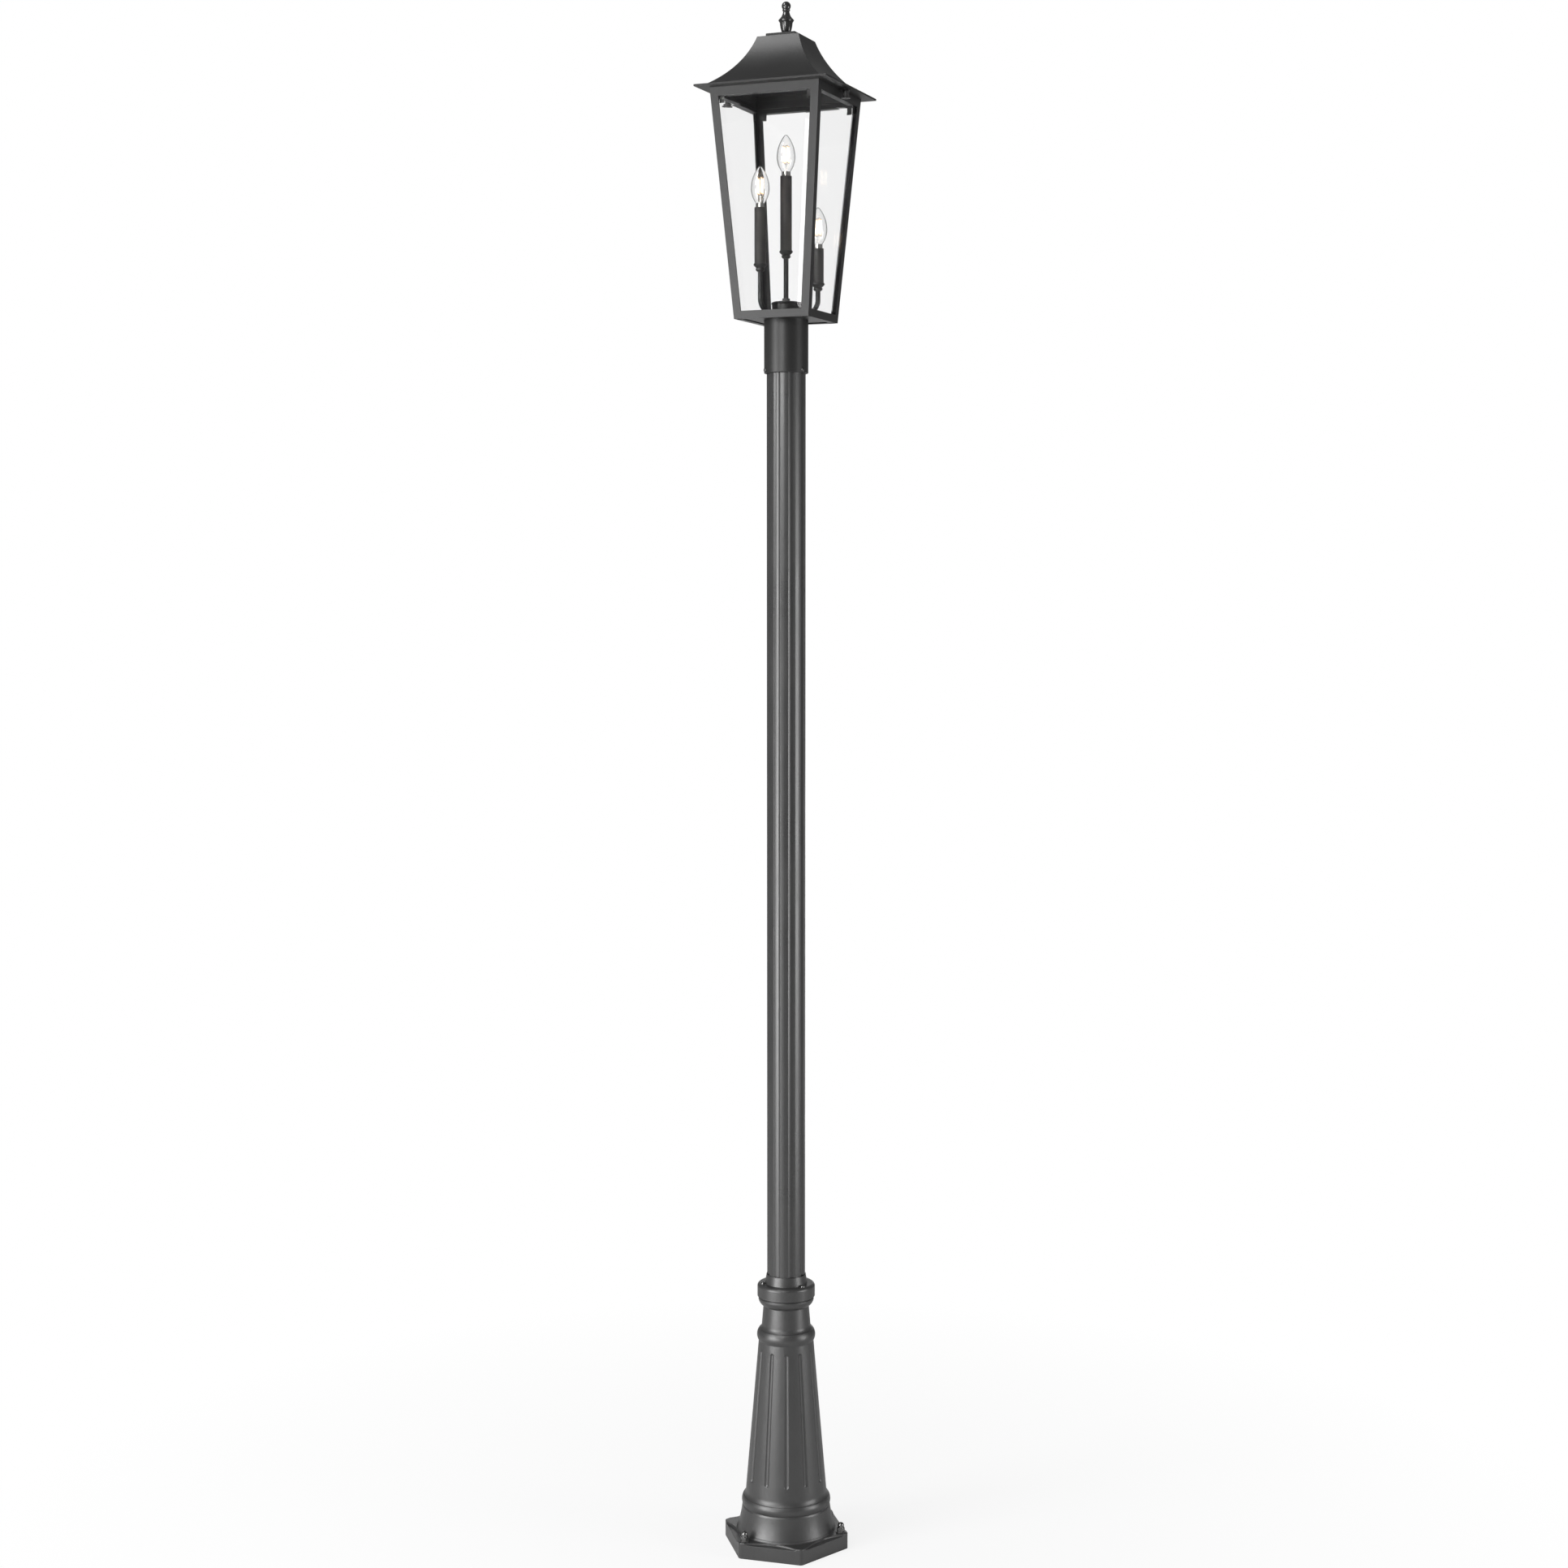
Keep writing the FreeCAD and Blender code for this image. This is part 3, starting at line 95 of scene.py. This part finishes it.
# Radius and height above the foot of the CAD filament.
STEM_OUTLINE = (
    (0.0, 0.0), (0.0036, 0.0), (0.0034, 0.002), (0.0024, 0.006), (0.0019, 0.012),
    (0.0017, 0.018), (0.0021, 0.0205), (0.0019, 0.0228), (0.0010, 0.0238), (0.0, STEM_HEIGHT),
)
ROD_SEGMENTS = 12
ROD_DOME_STEPS = 3
FILAMENT_GLOW = 3.4
FILAMENT_END_GLOW = 0.2

WHITE = (1.0, 1.0, 1.0)
CANDLES = ("centre", "left", "right")
SIDES = ("front", "right", "back", "left")
CORNERS = ("front_left", "front_right", "back_right", "back_left")


# Node helpers

def calculate(tree, operation, a, b):
    """Math node on two sockets or plain numbers."""
    node = tree.nodes.new("ShaderNodeMath")
    node.operation = operation
    for socket, value in zip(node.inputs, (a, b)):
        if isinstance(value, (int, float)):
            socket.default_value = value
        else:
            tree.links.new(value, socket)
    return node.outputs["Value"]


def mixed_shader(tree, factor, first, second):
    """Mix Shader node, which shows the second shader where the factor is 1."""
    node = tree.nodes.new("ShaderNodeMixShader")
    for socket, source in zip(node.inputs, (factor, first, second)):
        tree.links.new(source, socket)
    return node.outputs["Shader"]


def seen_by_camera(tree):
    """1 for rays from the camera, straight or through glass, with no reflection or scattering before."""
    path = tree.nodes.new("ShaderNodeLightPath").outputs
    bounces = calculate(tree, "ADD", path["Glossy Depth"], path["Diffuse Depth"])
    unbounced = calculate(tree, "LESS_THAN", bounces, 1)
    through = calculate(tree, "MULTIPLY", path["Is Transmission Ray"], unbounced)
    return calculate(tree, "MAXIMUM", path["Is Camera Ray"], through)


class Shader:
    """A node material with one Principled surface and short ways to add to it."""

    def __init__(self, name):
        self.material = bpy.data.materials.new(name)
        self.material.use_nodes = True
        self.tree = self.material.node_tree
        self.surface = self.tree.nodes["Principled BSDF"]
        self.place = self.tree.nodes.new("ShaderNodeTexCoord").outputs["Object"]

    def set(self, **values):
        """Sets numbers on the surface's own sockets."""
        for name, value in values.items():
            self.surface.inputs[name.replace("_", " ")].default_value = value

    def drive(self, **sources):
        """Links sockets to the surface's own sockets."""
        for name, source in sources.items():
            self.link(source, self.surface.inputs[name.replace("_", " ")])

    def link(self, source, target):
        self.tree.links.new(source, target)

    def stretched(self, x, y, z):
        """Object coordinates with a scale of their own on each axis."""
        mapping = self.tree.nodes.new("ShaderNodeMapping")
        mapping.inputs["Scale"].default_value = (x, y, z)
        self.link(self.place, mapping.inputs["Vector"])
        return mapping.outputs["Vector"]

    def noise(self, scale, detail=2.0, roughness=0.5, place=None):
        node = self.tree.nodes.new("ShaderNodeTexNoise")
        node.inputs["Scale"].default_value = scale
        node.inputs["Detail"].default_value = detail
        node.inputs["Roughness"].default_value = roughness
        self.link(place or self.place, node.inputs["Vector"])
        return node.outputs["Fac"]

    def patches(self, scale, detail=2.0, roughness=0.5, low=0.3, high=0.7):
        """Noise whose values from low to high are stretched to 0 to 1."""
        return self.spread(self.noise(scale, detail, roughness), low, high)

    def cells(self, scale):
        node = self.tree.nodes.new("ShaderNodeTexVoronoi")
        node.inputs["Scale"].default_value = scale
        self.link(self.place, node.inputs["Vector"])
        return node.outputs["Distance"]

    def spread(self, value, low, high, out_low=0.0, out_high=1.0):
        """Stretches the values from low to high over a new range."""
        node = self.tree.nodes.new("ShaderNodeMapRange")
        ends = {"From Min": low, "From Max": high, "To Min": out_low, "To Max": out_high}
        for socket, number in ends.items():
            node.inputs[socket].default_value = number
        self.link(value, node.inputs["Value"])
        return node.outputs["Result"]

    def times(self, a, b):
        return calculate(self.tree, "MULTIPLY", a, b)

    def plus(self, a, b):
        return calculate(self.tree, "ADD", a, b)

    def blend(self, factor, first, second):
        """Colour between two colours, each a tuple or a socket."""
        node = self.tree.nodes.new("ShaderNodeMix")
        node.data_type = "RGBA"
        self.link(factor, node.inputs["Factor"])
        sockets = [socket for socket in node.inputs if socket.type == "RGBA"]
        for socket, colour in zip(sockets, (first, second)):
            if isinstance(colour, tuple):
                socket.default_value = (*colour, 1.0)
            else:
                self.link(colour, socket)
        return next(socket for socket in node.outputs if socket.type == "RGBA")

    def bump(self, height, depth, strength=1.0, normal=None):
        """Normal with relief from a height, on top of another normal where one is given."""
        node = self.tree.nodes.new("ShaderNodeBump")
        node.inputs["Strength"].default_value = strength
        node.inputs["Distance"].default_value = depth
        self.link(height, node.inputs["Height"])
        if normal is not None:
            self.link(normal, node.inputs["Normal"])
        return node.outputs["Normal"]

    def soft_edges(self, radius):
        """Normal that shades sharp edges as if they were rounded."""
        node = self.tree.nodes.new("ShaderNodeBevel")
        node.samples = 4
        node.inputs["Radius"].default_value = radius
        return node.outputs["Normal"]


def grey(level, warmth=0.0):
    """Grey of one level, a share warmer in red and cooler in blue."""
    return (level * (1 + warmth), level, level * (1 - warmth))


# Materials. A level is the paint's grey, and a scale the number of a texture's repeats in a metre.

def powder_coat(name, level, roughness, specular, edge_radius, grain):
    """Fine-grained black coat: faint clouding, pale specks, painted glints (lighter spots in its colour),
    orange peel and rounded arrises.
    """
    look = Shader(name)
    clouds = look.patches(scale=9.0, detail=4.0)
    specks = look.patches(scale=1500.0, roughness=0.7, low=0.46, high=0.62)
    # Painted glints: scattered spots of the colour are made much lighter, standing in for sparkle from
    # the light.
    painted_glints = look.patches(scale=1300.0, detail=1.0, low=0.54, high=0.74)
    paint = look.blend(clouds, grey(level * 0.9), grey(level * 1.12, 0.01))
    specked = look.blend(look.times(specks, 0.5), paint, grey(level * 1.7))
    dulling = look.times(specks, 0.06)
    grit = look.times(look.cells(650.0), 0.6)
    grit = look.plus(look.noise(scale=1100.0, detail=3.0, roughness=0.6), grit)
    peel = look.noise(scale=850.0, roughness=0.6)
    skin = look.bump(peel, depth=grain * 0.8, strength=0.7, normal=look.soft_edges(edge_radius))
    look.drive(
        Base_Color=look.blend(painted_glints, specked, grey(level * 2.4)),
        Roughness=look.plus(look.spread(clouds, 0, 1, roughness - 0.03, roughness + 0.04), dulling),
        Normal=look.bump(grit, depth=grain, strength=0.8, normal=skin),
    )
    look.set(Specular_IOR_Level=specular)
    return look.material


def cast_coat(name, level, roughness, specular, edge_radius):
    """Black coat over a sand casting: fine grain on the slow waves left by the mould."""
    look = Shader(name)
    clouds = look.patches(scale=14.0, detail=5.0, roughness=0.6)
    specks = look.patches(scale=1200.0, roughness=0.7, low=0.46, high=0.64)
    paint = look.blend(clouds, grey(level * 0.9), grey(level * 1.1, 0.008))
    waves = look.noise(scale=70.0)
    skin = look.bump(waves, depth=0.00035, strength=0.5, normal=look.soft_edges(edge_radius))
    skin = look.bump(look.noise(scale=600.0, roughness=0.6), depth=0.00007, strength=0.7, normal=skin)
    grit = look.noise(scale=1000.0, detail=3.0, roughness=0.6)
    look.drive(
        Base_Color=look.blend(look.times(specks, 0.45), paint, grey(level * 1.6)),
        Roughness=look.spread(clouds, 0, 1, roughness - 0.03, roughness + 0.05),
        Normal=look.bump(grit, depth=0.00008, strength=0.8, normal=skin),
    )
    look.set(Specular_IOR_Level=specular)
    return look.material


def satin_black(name, level, roughness, edge_radius):
    """Smooth black finish with faint turning marks."""
    look = Shader(name)
    clouds = look.patches(scale=60.0, detail=3.0)
    rings = look.noise(scale=20.0, roughness=0.6, place=look.stretched(1.0, 1.0, 160.0))
    look.drive(
        Base_Color=look.blend(clouds, grey(level * 0.8), grey(level * 1.25, 0.02)),
        Roughness=look.spread(rings, 0.3, 0.7, roughness - 0.05, roughness + 0.07),
        Normal=look.bump(rings, depth=0.00002, strength=0.6, normal=look.soft_edges(edge_radius)),
    )
    look.set(Specular_IOR_Level=0.6, Coat_Weight=0.3, Coat_Roughness=0.15)
    return look.material


def zinc_plate(name):
    """Bright zinc with a dull bloom."""
    look = Shader(name)
    bloom = look.patches(scale=120.0, detail=4.0, low=0.35)
    look.drive(
        Base_Color=look.blend(bloom, (0.52, 0.53, 0.55), (0.38, 0.38, 0.39)),
        Roughness=look.spread(bloom, 0, 1, 0.28, 0.45),
        Normal=look.bump(look.noise(scale=900.0), depth=0.00002),
    )
    look.set(Metallic=1.0)
    return look.material


def black_nickel(name):
    """Dark bright-plated metal, a little duller in patches."""
    look = Shader(name)
    bloom = look.patches(scale=160.0, detail=4.0, low=0.35)
    rounded = look.soft_edges(0.0004)
    look.drive(
        Base_Color=look.blend(bloom, grey(0.20), grey(0.14, 0.02)),
        Roughness=look.spread(bloom, 0, 1, 0.18, 0.30),
        Normal=look.bump(look.noise(scale=700.0), depth=0.00002, strength=0.5, normal=rounded),
    )
    look.set(Metallic=1.0)
    return look.material


def polished_nickel(name):
    """Mirror-bright lamp collar with fine rolling lines."""
    look = Shader(name)
    lines = look.noise(scale=30.0, place=look.stretched(1.0, 1.0, 220.0))
    look.drive(
        Base_Color=look.blend(look.spread(lines, 0.35, 0.65), (0.78, 0.76, 0.73), (0.66, 0.65, 0.63)),
        Roughness=look.spread(lines, 0.3, 0.7, 0.06, 0.16),
        Normal=look.bump(lines, depth=0.00001, strength=0.5),
    )
    look.set(Metallic=1.0)
    return look.material


def card_sleeve(name):
    """Matte black candle sleeve with a faint warm cast and lengthwise drawing marks."""
    look = Shader(name)
    marks = look.noise(scale=220.0, detail=3.0, roughness=0.6, place=look.stretched(1.0, 1.0, 0.06))
    rounded = look.soft_edges(0.0004)
    look.drive(
        Base_Color=look.blend(look.spread(marks, 0.3, 0.7), grey(0.026, 0.06), grey(0.034, 0.08)),
        Roughness=look.spread(marks, 0.3, 0.7, 0.44, 0.54),
        Normal=look.bump(look.noise(scale=1300.0), depth=0.00004, strength=0.6, normal=rounded),
    )
    look.set(Specular_IOR_Level=0.45)
    return look.material


def black_phenolic(name):
    """Moulded black lamp holder."""
    look = Shader(name)
    flow = look.patches(scale=90.0, detail=3.0)
    look.drive(
        Base_Color=look.blend(flow, grey(0.018), grey(0.03, 0.05)),
        Roughness=look.spread(flow, 0, 1, 0.28, 0.38),
        Normal=look.bump(look.noise(scale=400.0), depth=0.00002, strength=0.5),
    )
    return look.material


def clear_glass(name, tint, index, specular):
    """Clear glass with a very slight unevenness of its tint and polish."""
    look = Shader(name)
    haze = look.patches(scale=25.0, detail=3.0, low=0.35)
    look.drive(
        Base_Color=look.blend(haze, tint, tuple(channel * 0.995 for channel in tint)),
        Roughness=look.spread(haze, 0, 1, 0.0, 0.006),
    )
    look.set(Transmission_Weight=1.0, IOR=index, Specular_IOR_Level=specular)
    return look.material


def lit_filament(name, low, high):
    """Glowing stick between two heights: cream-white inside, amber at its outline and both ends."""
    look = Shader(name)
    split = look.tree.nodes.new("ShaderNodeSeparateXYZ")
    look.link(look.place, split.inputs["Vector"])
    along = look.spread(split.outputs["Z"], low, high, -1.0, 1.0)
    ends = look.spread(calculate(look.tree, "ABSOLUTE", along, 0.0), 0.62, 0.98)
    facing = look.tree.nodes.new("ShaderNodeLayerWeight")
    facing.inputs["Blend"].default_value = 0.5
    rim = look.spread(facing.outputs["Facing"], 0.5, 1.0)
    amber = calculate(look.tree, "MAXIMUM", ends, rim)
    grains = look.noise(scale=900.0, detail=1.0)
    phosphor = look.blend(look.spread(grains, 0.3, 0.7), (0.95, 0.72, 0.38), (1.0, 0.8, 0.5))
    look.drive(
        Base_Color=look.blend(ends, phosphor, (0.20, 0.10, 0.05)),
        Emission_Color=look.blend(amber, (1.0, 0.90, 0.72), (1.0, 0.50, 0.20)),
        Emission_Strength=look.spread(ends, 0, 1, FILAMENT_GLOW, FILAMENT_END_GLOW),
        Normal=look.bump(grains, depth=0.00002, strength=0.5),
    )
    look.set(Roughness=0.6)
    return look.material


# Finishes of the CAD nodes

def dress(material, *names):
    """Gives CAD nodes a material in place of their own."""
    for name in names:
        mesh = nodes[name].data
        mesh.materials.clear()
        mesh.materials.append(material)


lantern_coat = powder_coat(
    "lantern_coat", level=0.011, roughness=0.37, specular=0.46, edge_radius=0.0004, grain=0.00007,
)
post_coat = powder_coat(
    "post_coat", level=0.020, roughness=0.29, specular=0.72, edge_radius=0.0014, grain=0.000035,
)
casting_coat = cast_coat("casting_coat", level=0.020, roughness=0.38, specular=0.85, edge_radius=0.0012)
finial_black = satin_black("finial_black", level=0.016, roughness=0.22, edge_radius=0.0004)
screw_black = satin_black("screw_black", level=0.020, roughness=0.32, edge_radius=0.0003)
zinc = zinc_plate("zinc")
nickel = polished_nickel("nickel")
dark_nickel = black_nickel("dark_nickel")
sleeve_black = card_sleeve("sleeve_black")
phenolic = black_phenolic("phenolic")
pane_glass = clear_glass("pane_glass", WHITE, index=1.37, specular=0.3)
side_glass = clear_glass("side_glass", WHITE, index=1.15, specular=0.5)
lamp_glass = clear_glass("lamp_glass", grey(0.995), index=1.42, specular=0.5)

dress(casting_coat, "base_casting", "post_coupling")
dress(post_coat, "post_tube")
dress(finial_black, "finial")
dress(dark_nickel, "anchor_nuts", "coupling_screws")
dress(screw_black, "anchor_washers", "fitter_set_screws", "pan_screws", "glass_clips")
dress(screw_black, "thumb_nut_left", "thumb_nut_right", "hub_nut", "arm_ferrules")
dress(zinc, "roof_studs", "finial_nut")
dress(lantern_coat, "fitter_cup", "bottom_pan", "roof_ears", "roof_shell", "roof_cap", "candle_hub")
for corner in CORNERS:
    dress(lantern_coat, f"corner_post_{corner}")
for side in SIDES:
    dress(lantern_coat, f"foot_rail_{side}", f"top_rail_{side}")
    dress(pane_glass if side in ("front", "back") else side_glass, f"glass_pane_{side}")
for candle in CANDLES:
    dress(lantern_coat, f"candle_stem_{candle}", f"bobeche_{candle}")
    dress(sleeve_black, f"candle_sleeve_{candle}")
    dress(phenolic, f"lamp_socket_{candle}")
    dress(nickel, f"bulb_base_{candle}")
    dress(lamp_glass, f"bulb_glass_{candle}")


# Pieces that take the place of the lamps' filaments

def finished(name, build, material, body):
    """Makes an object from a bmesh, with its material, on the body that carries it."""
    mesh = bpy.data.meshes.new(name)
    build.normal_update()
    build.to_mesh(mesh)
    build.free()
    piece = bpy.data.objects.new(name, mesh)
    bpy.context.scene.collection.objects.link(piece)
    mesh.materials.append(material)
    mesh.shade_smooth()
    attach(piece, body)
    return piece


def lathe(build, profile, centre, segments):
    """Turns a profile of (radius, height) about a vertical line. A radius of 0 gives one shared point."""
    rings = []
    for radius, height in profile:
        ring = []
        for i in range(segments if radius else 1):
            angle = 2 * math.pi * i / segments
            offset = Vector((radius * math.cos(angle), radius * math.sin(angle), height))
            ring.append(build.verts.new(centre + offset))
        rings.append(ring)
    for low, high in zip(rings, rings[1:]):
        for i in range(segments):
            j = (i + 1) % segments
            corners = (low[i % len(low)], low[j % len(low)], high[j % len(high)], high[i % len(high)])
            # Where one ring is a single point, two corners are the same and the face is a triangle.
            build.faces.new(list(dict.fromkeys(corners)))


def rod(build, start, end, radius):
    """Round-ended bar between two points."""
    along = end - start
    place = Matrix.Translation(start) @ along.to_track_quat("Z", "Y").to_matrix().to_4x4()
    angles = [math.pi / 2 * i / ROD_DOME_STEPS for i in range(ROD_DOME_STEPS + 1)]
    dome = [(radius * math.sin(angle), radius * (1 - math.cos(angle))) for angle in angles]
    far_dome = [(width, along.length - height) for width, height in reversed(dome)]
    first = len(build.verts)
    lathe(build, dome + far_dome, Vector(), ROD_SEGMENTS)
    build.verts.ensure_lookup_table()
    for vert in build.verts[first:]:
        vert.co = place @ vert.co


def lamp_inside(candle):
    """Glass stem, lead wires and lit sticks inside one lamp, in place of its CAD filament."""
    body = f"bulb_{candle}"
    node = f"bulb_filament_{candle}"
    low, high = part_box(node)
    glass_low, glass_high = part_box(f"bulb_glass_{candle}")
    axis = (glass_low + glass_high) / 2
    stick_foot = low.z + STEM_HEIGHT
    stick_top = stick_foot + STICK_LENGTH
    turns = [math.radians(360 / STICK_COUNT * (i + 0.5)) for i in range(STICK_COUNT)]
    ring = [Vector((math.cos(turn), math.sin(turn), 0)) * STICK_RING_RADIUS for turn in turns]

    def at(height, out=Vector()):
        return Vector((axis.x + out.x, axis.y + out.y, height))

    build = bmesh.new()
    lathe(build, STEM_OUTLINE, at(low.z), STEM_SEGMENTS)
    stem = finished(f"lamp_stem_{candle}", build, lamp_glass, body)
    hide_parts(node)

    build = bmesh.new()
    rod(build, at(stick_foot - WIRE_TAIL), at(stick_top), WIRE_RADIUS)
    for out in ring:
        # The lower end, then the upper one.
        for hub, end, cap in (
            (stick_foot - WIRE_DROP, stick_foot, stick_foot + CAP_LENGTH),
            (high.z, stick_top, stick_top - CAP_LENGTH),
        ):
            rod(build, at(hub), at(end, out), WIRE_RADIUS)
            rod(build, at(end, out), at(cap, out), CAP_RADIUS)
    wires = finished(f"lamp_wires_{candle}", build, nickel, body)
    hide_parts(node)

    build = bmesh.new()
    inset = CAP_LENGTH - CAP_OVERLAP
    for out in ring:
        rod(build, at(stick_foot + inset, out), at(stick_top - inset, out), STICK_RADIUS)
    glow = lit_filament(f"lit_filament_{candle}", stick_foot, stick_top)
    sticks = finished(f"lamp_sticks_{candle}", build, glow, body)
    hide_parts(node)


for candle in CANDLES:
    lamp_inside(candle)


# Floor, light and camera

def backdrop():
    """World of three strengths: plain light, a dim surround in reflections, and white for the camera."""
    world = bpy.data.worlds.new("studio")
    bpy.context.scene.world = world
    world.use_nodes = True
    tree = world.node_tree
    tree.nodes.remove(tree.nodes["Background"])

    def white(strength):
        node = tree.nodes.new("ShaderNodeBackground")
        node.inputs["Color"].default_value = (*WHITE, 1.0)
        node.inputs["Strength"].default_value = strength
        return node.outputs["Background"]

    reflected = tree.nodes.new("ShaderNodeLightPath").outputs["Is Glossy Ray"]
    unseen = mixed_shader(tree, reflected, white(AMBIENT), white(GLOSS_SURROUND))
    shown = mixed_shader(tree, seen_by_camera(tree), unseen, white(BACKDROP))
    tree.links.new(shown, tree.nodes["World Output"].inputs["Surface"])


def floor():
    """Pale floor that fades into the backdrop and keeps the lamp post's shadow."""
    build = bmesh.new()
    bmesh.ops.create_circle(build, cap_ends=True, radius=FLOOR_RADIUS, segments=FLOOR_SEGMENTS)
    mesh = bpy.data.meshes.new("floor")
    build.to_mesh(mesh)
    build.free()
    piece = bpy.data.objects.new("floor", mesh)
    piece.location = (0, 0, -FLOOR_DROP)
    bpy.context.scene.collection.objects.link(piece)

    look = Shader("floor_paint")
    mottling = look.patches(scale=3.0, detail=4.0)
    look.drive(Base_Color=look.blend(mottling, grey(0.66), grey(0.68)))
    look.set(Roughness=0.9, Specular_IOR_Level=0.1)
    glow = look.tree.nodes.new("ShaderNodeEmission")
    glow.inputs["Color"].default_value = (*WHITE, 1.0)
    reach = look.tree.nodes.new("ShaderNodeVectorMath")
    reach.operation = "LENGTH"
    look.link(look.place, reach.inputs[0])
    white = look.spread(reach.outputs["Value"], SHADOW_CORE, SHADOW_REACH, 1.0 - SHADOW_WEIGHT, 1.0)
    factor = look.times(seen_by_camera(look.tree), white)
    shown = mixed_shader(look.tree, factor, look.surface.outputs["BSDF"], glow.outputs["Emission"])
    look.link(shown, look.tree.nodes["Material Output"].inputs["Surface"])
    mesh.materials.append(look.material)


def orbit(azimuth, distance, height):
    """Point at a distance from the post's axis. Azimuth 0 is on the front side, 90 on the right."""
    angle = math.radians(azimuth)
    return Vector((math.sin(angle) * distance, -math.cos(angle) * distance, height))


def softbox(box):
    lamp = bpy.data.lights.new(box.name, "AREA")
    lamp.shape = "RECTANGLE"
    lamp.size, lamp.size_y = box.size
    lamp.energy = box.power
    light = bpy.data.objects.new(box.name, lamp)
    light.location = orbit(CAMERA_AZIMUTH + box.bearing, box.distance, box.height)
    towards = Vector((0, 0, box.aim)) - light.location
    light.rotation_euler = towards.to_track_quat("-Z", "Y").to_euler()
    bpy.context.scene.collection.objects.link(light)


def camera():
    lens = bpy.data.cameras.new("camera")
    lens.sensor_width = SENSOR_MM
    lens.lens = FOCAL_PIXELS / PHOTO_PIXELS * SENSOR_MM
    view = bpy.data.objects.new("camera", lens)
    view.location = orbit(CAMERA_AZIMUTH, CAMERA_DISTANCE, CAMERA_HEIGHT)
    yaw = math.atan(AXIS_OFFSET_PIXELS / FOCAL_PIXELS)
    view.rotation_euler = (math.radians(90 - CAMERA_PITCH), 0, math.radians(CAMERA_AZIMUTH) + yaw)
    bpy.context.scene.collection.objects.link(view)
    bpy.context.scene.camera = view


backdrop()
floor()
for box in SOFTBOXES:
    softbox(box)
camera()
bpy.context.scene.view_settings.view_transform = "Standard"
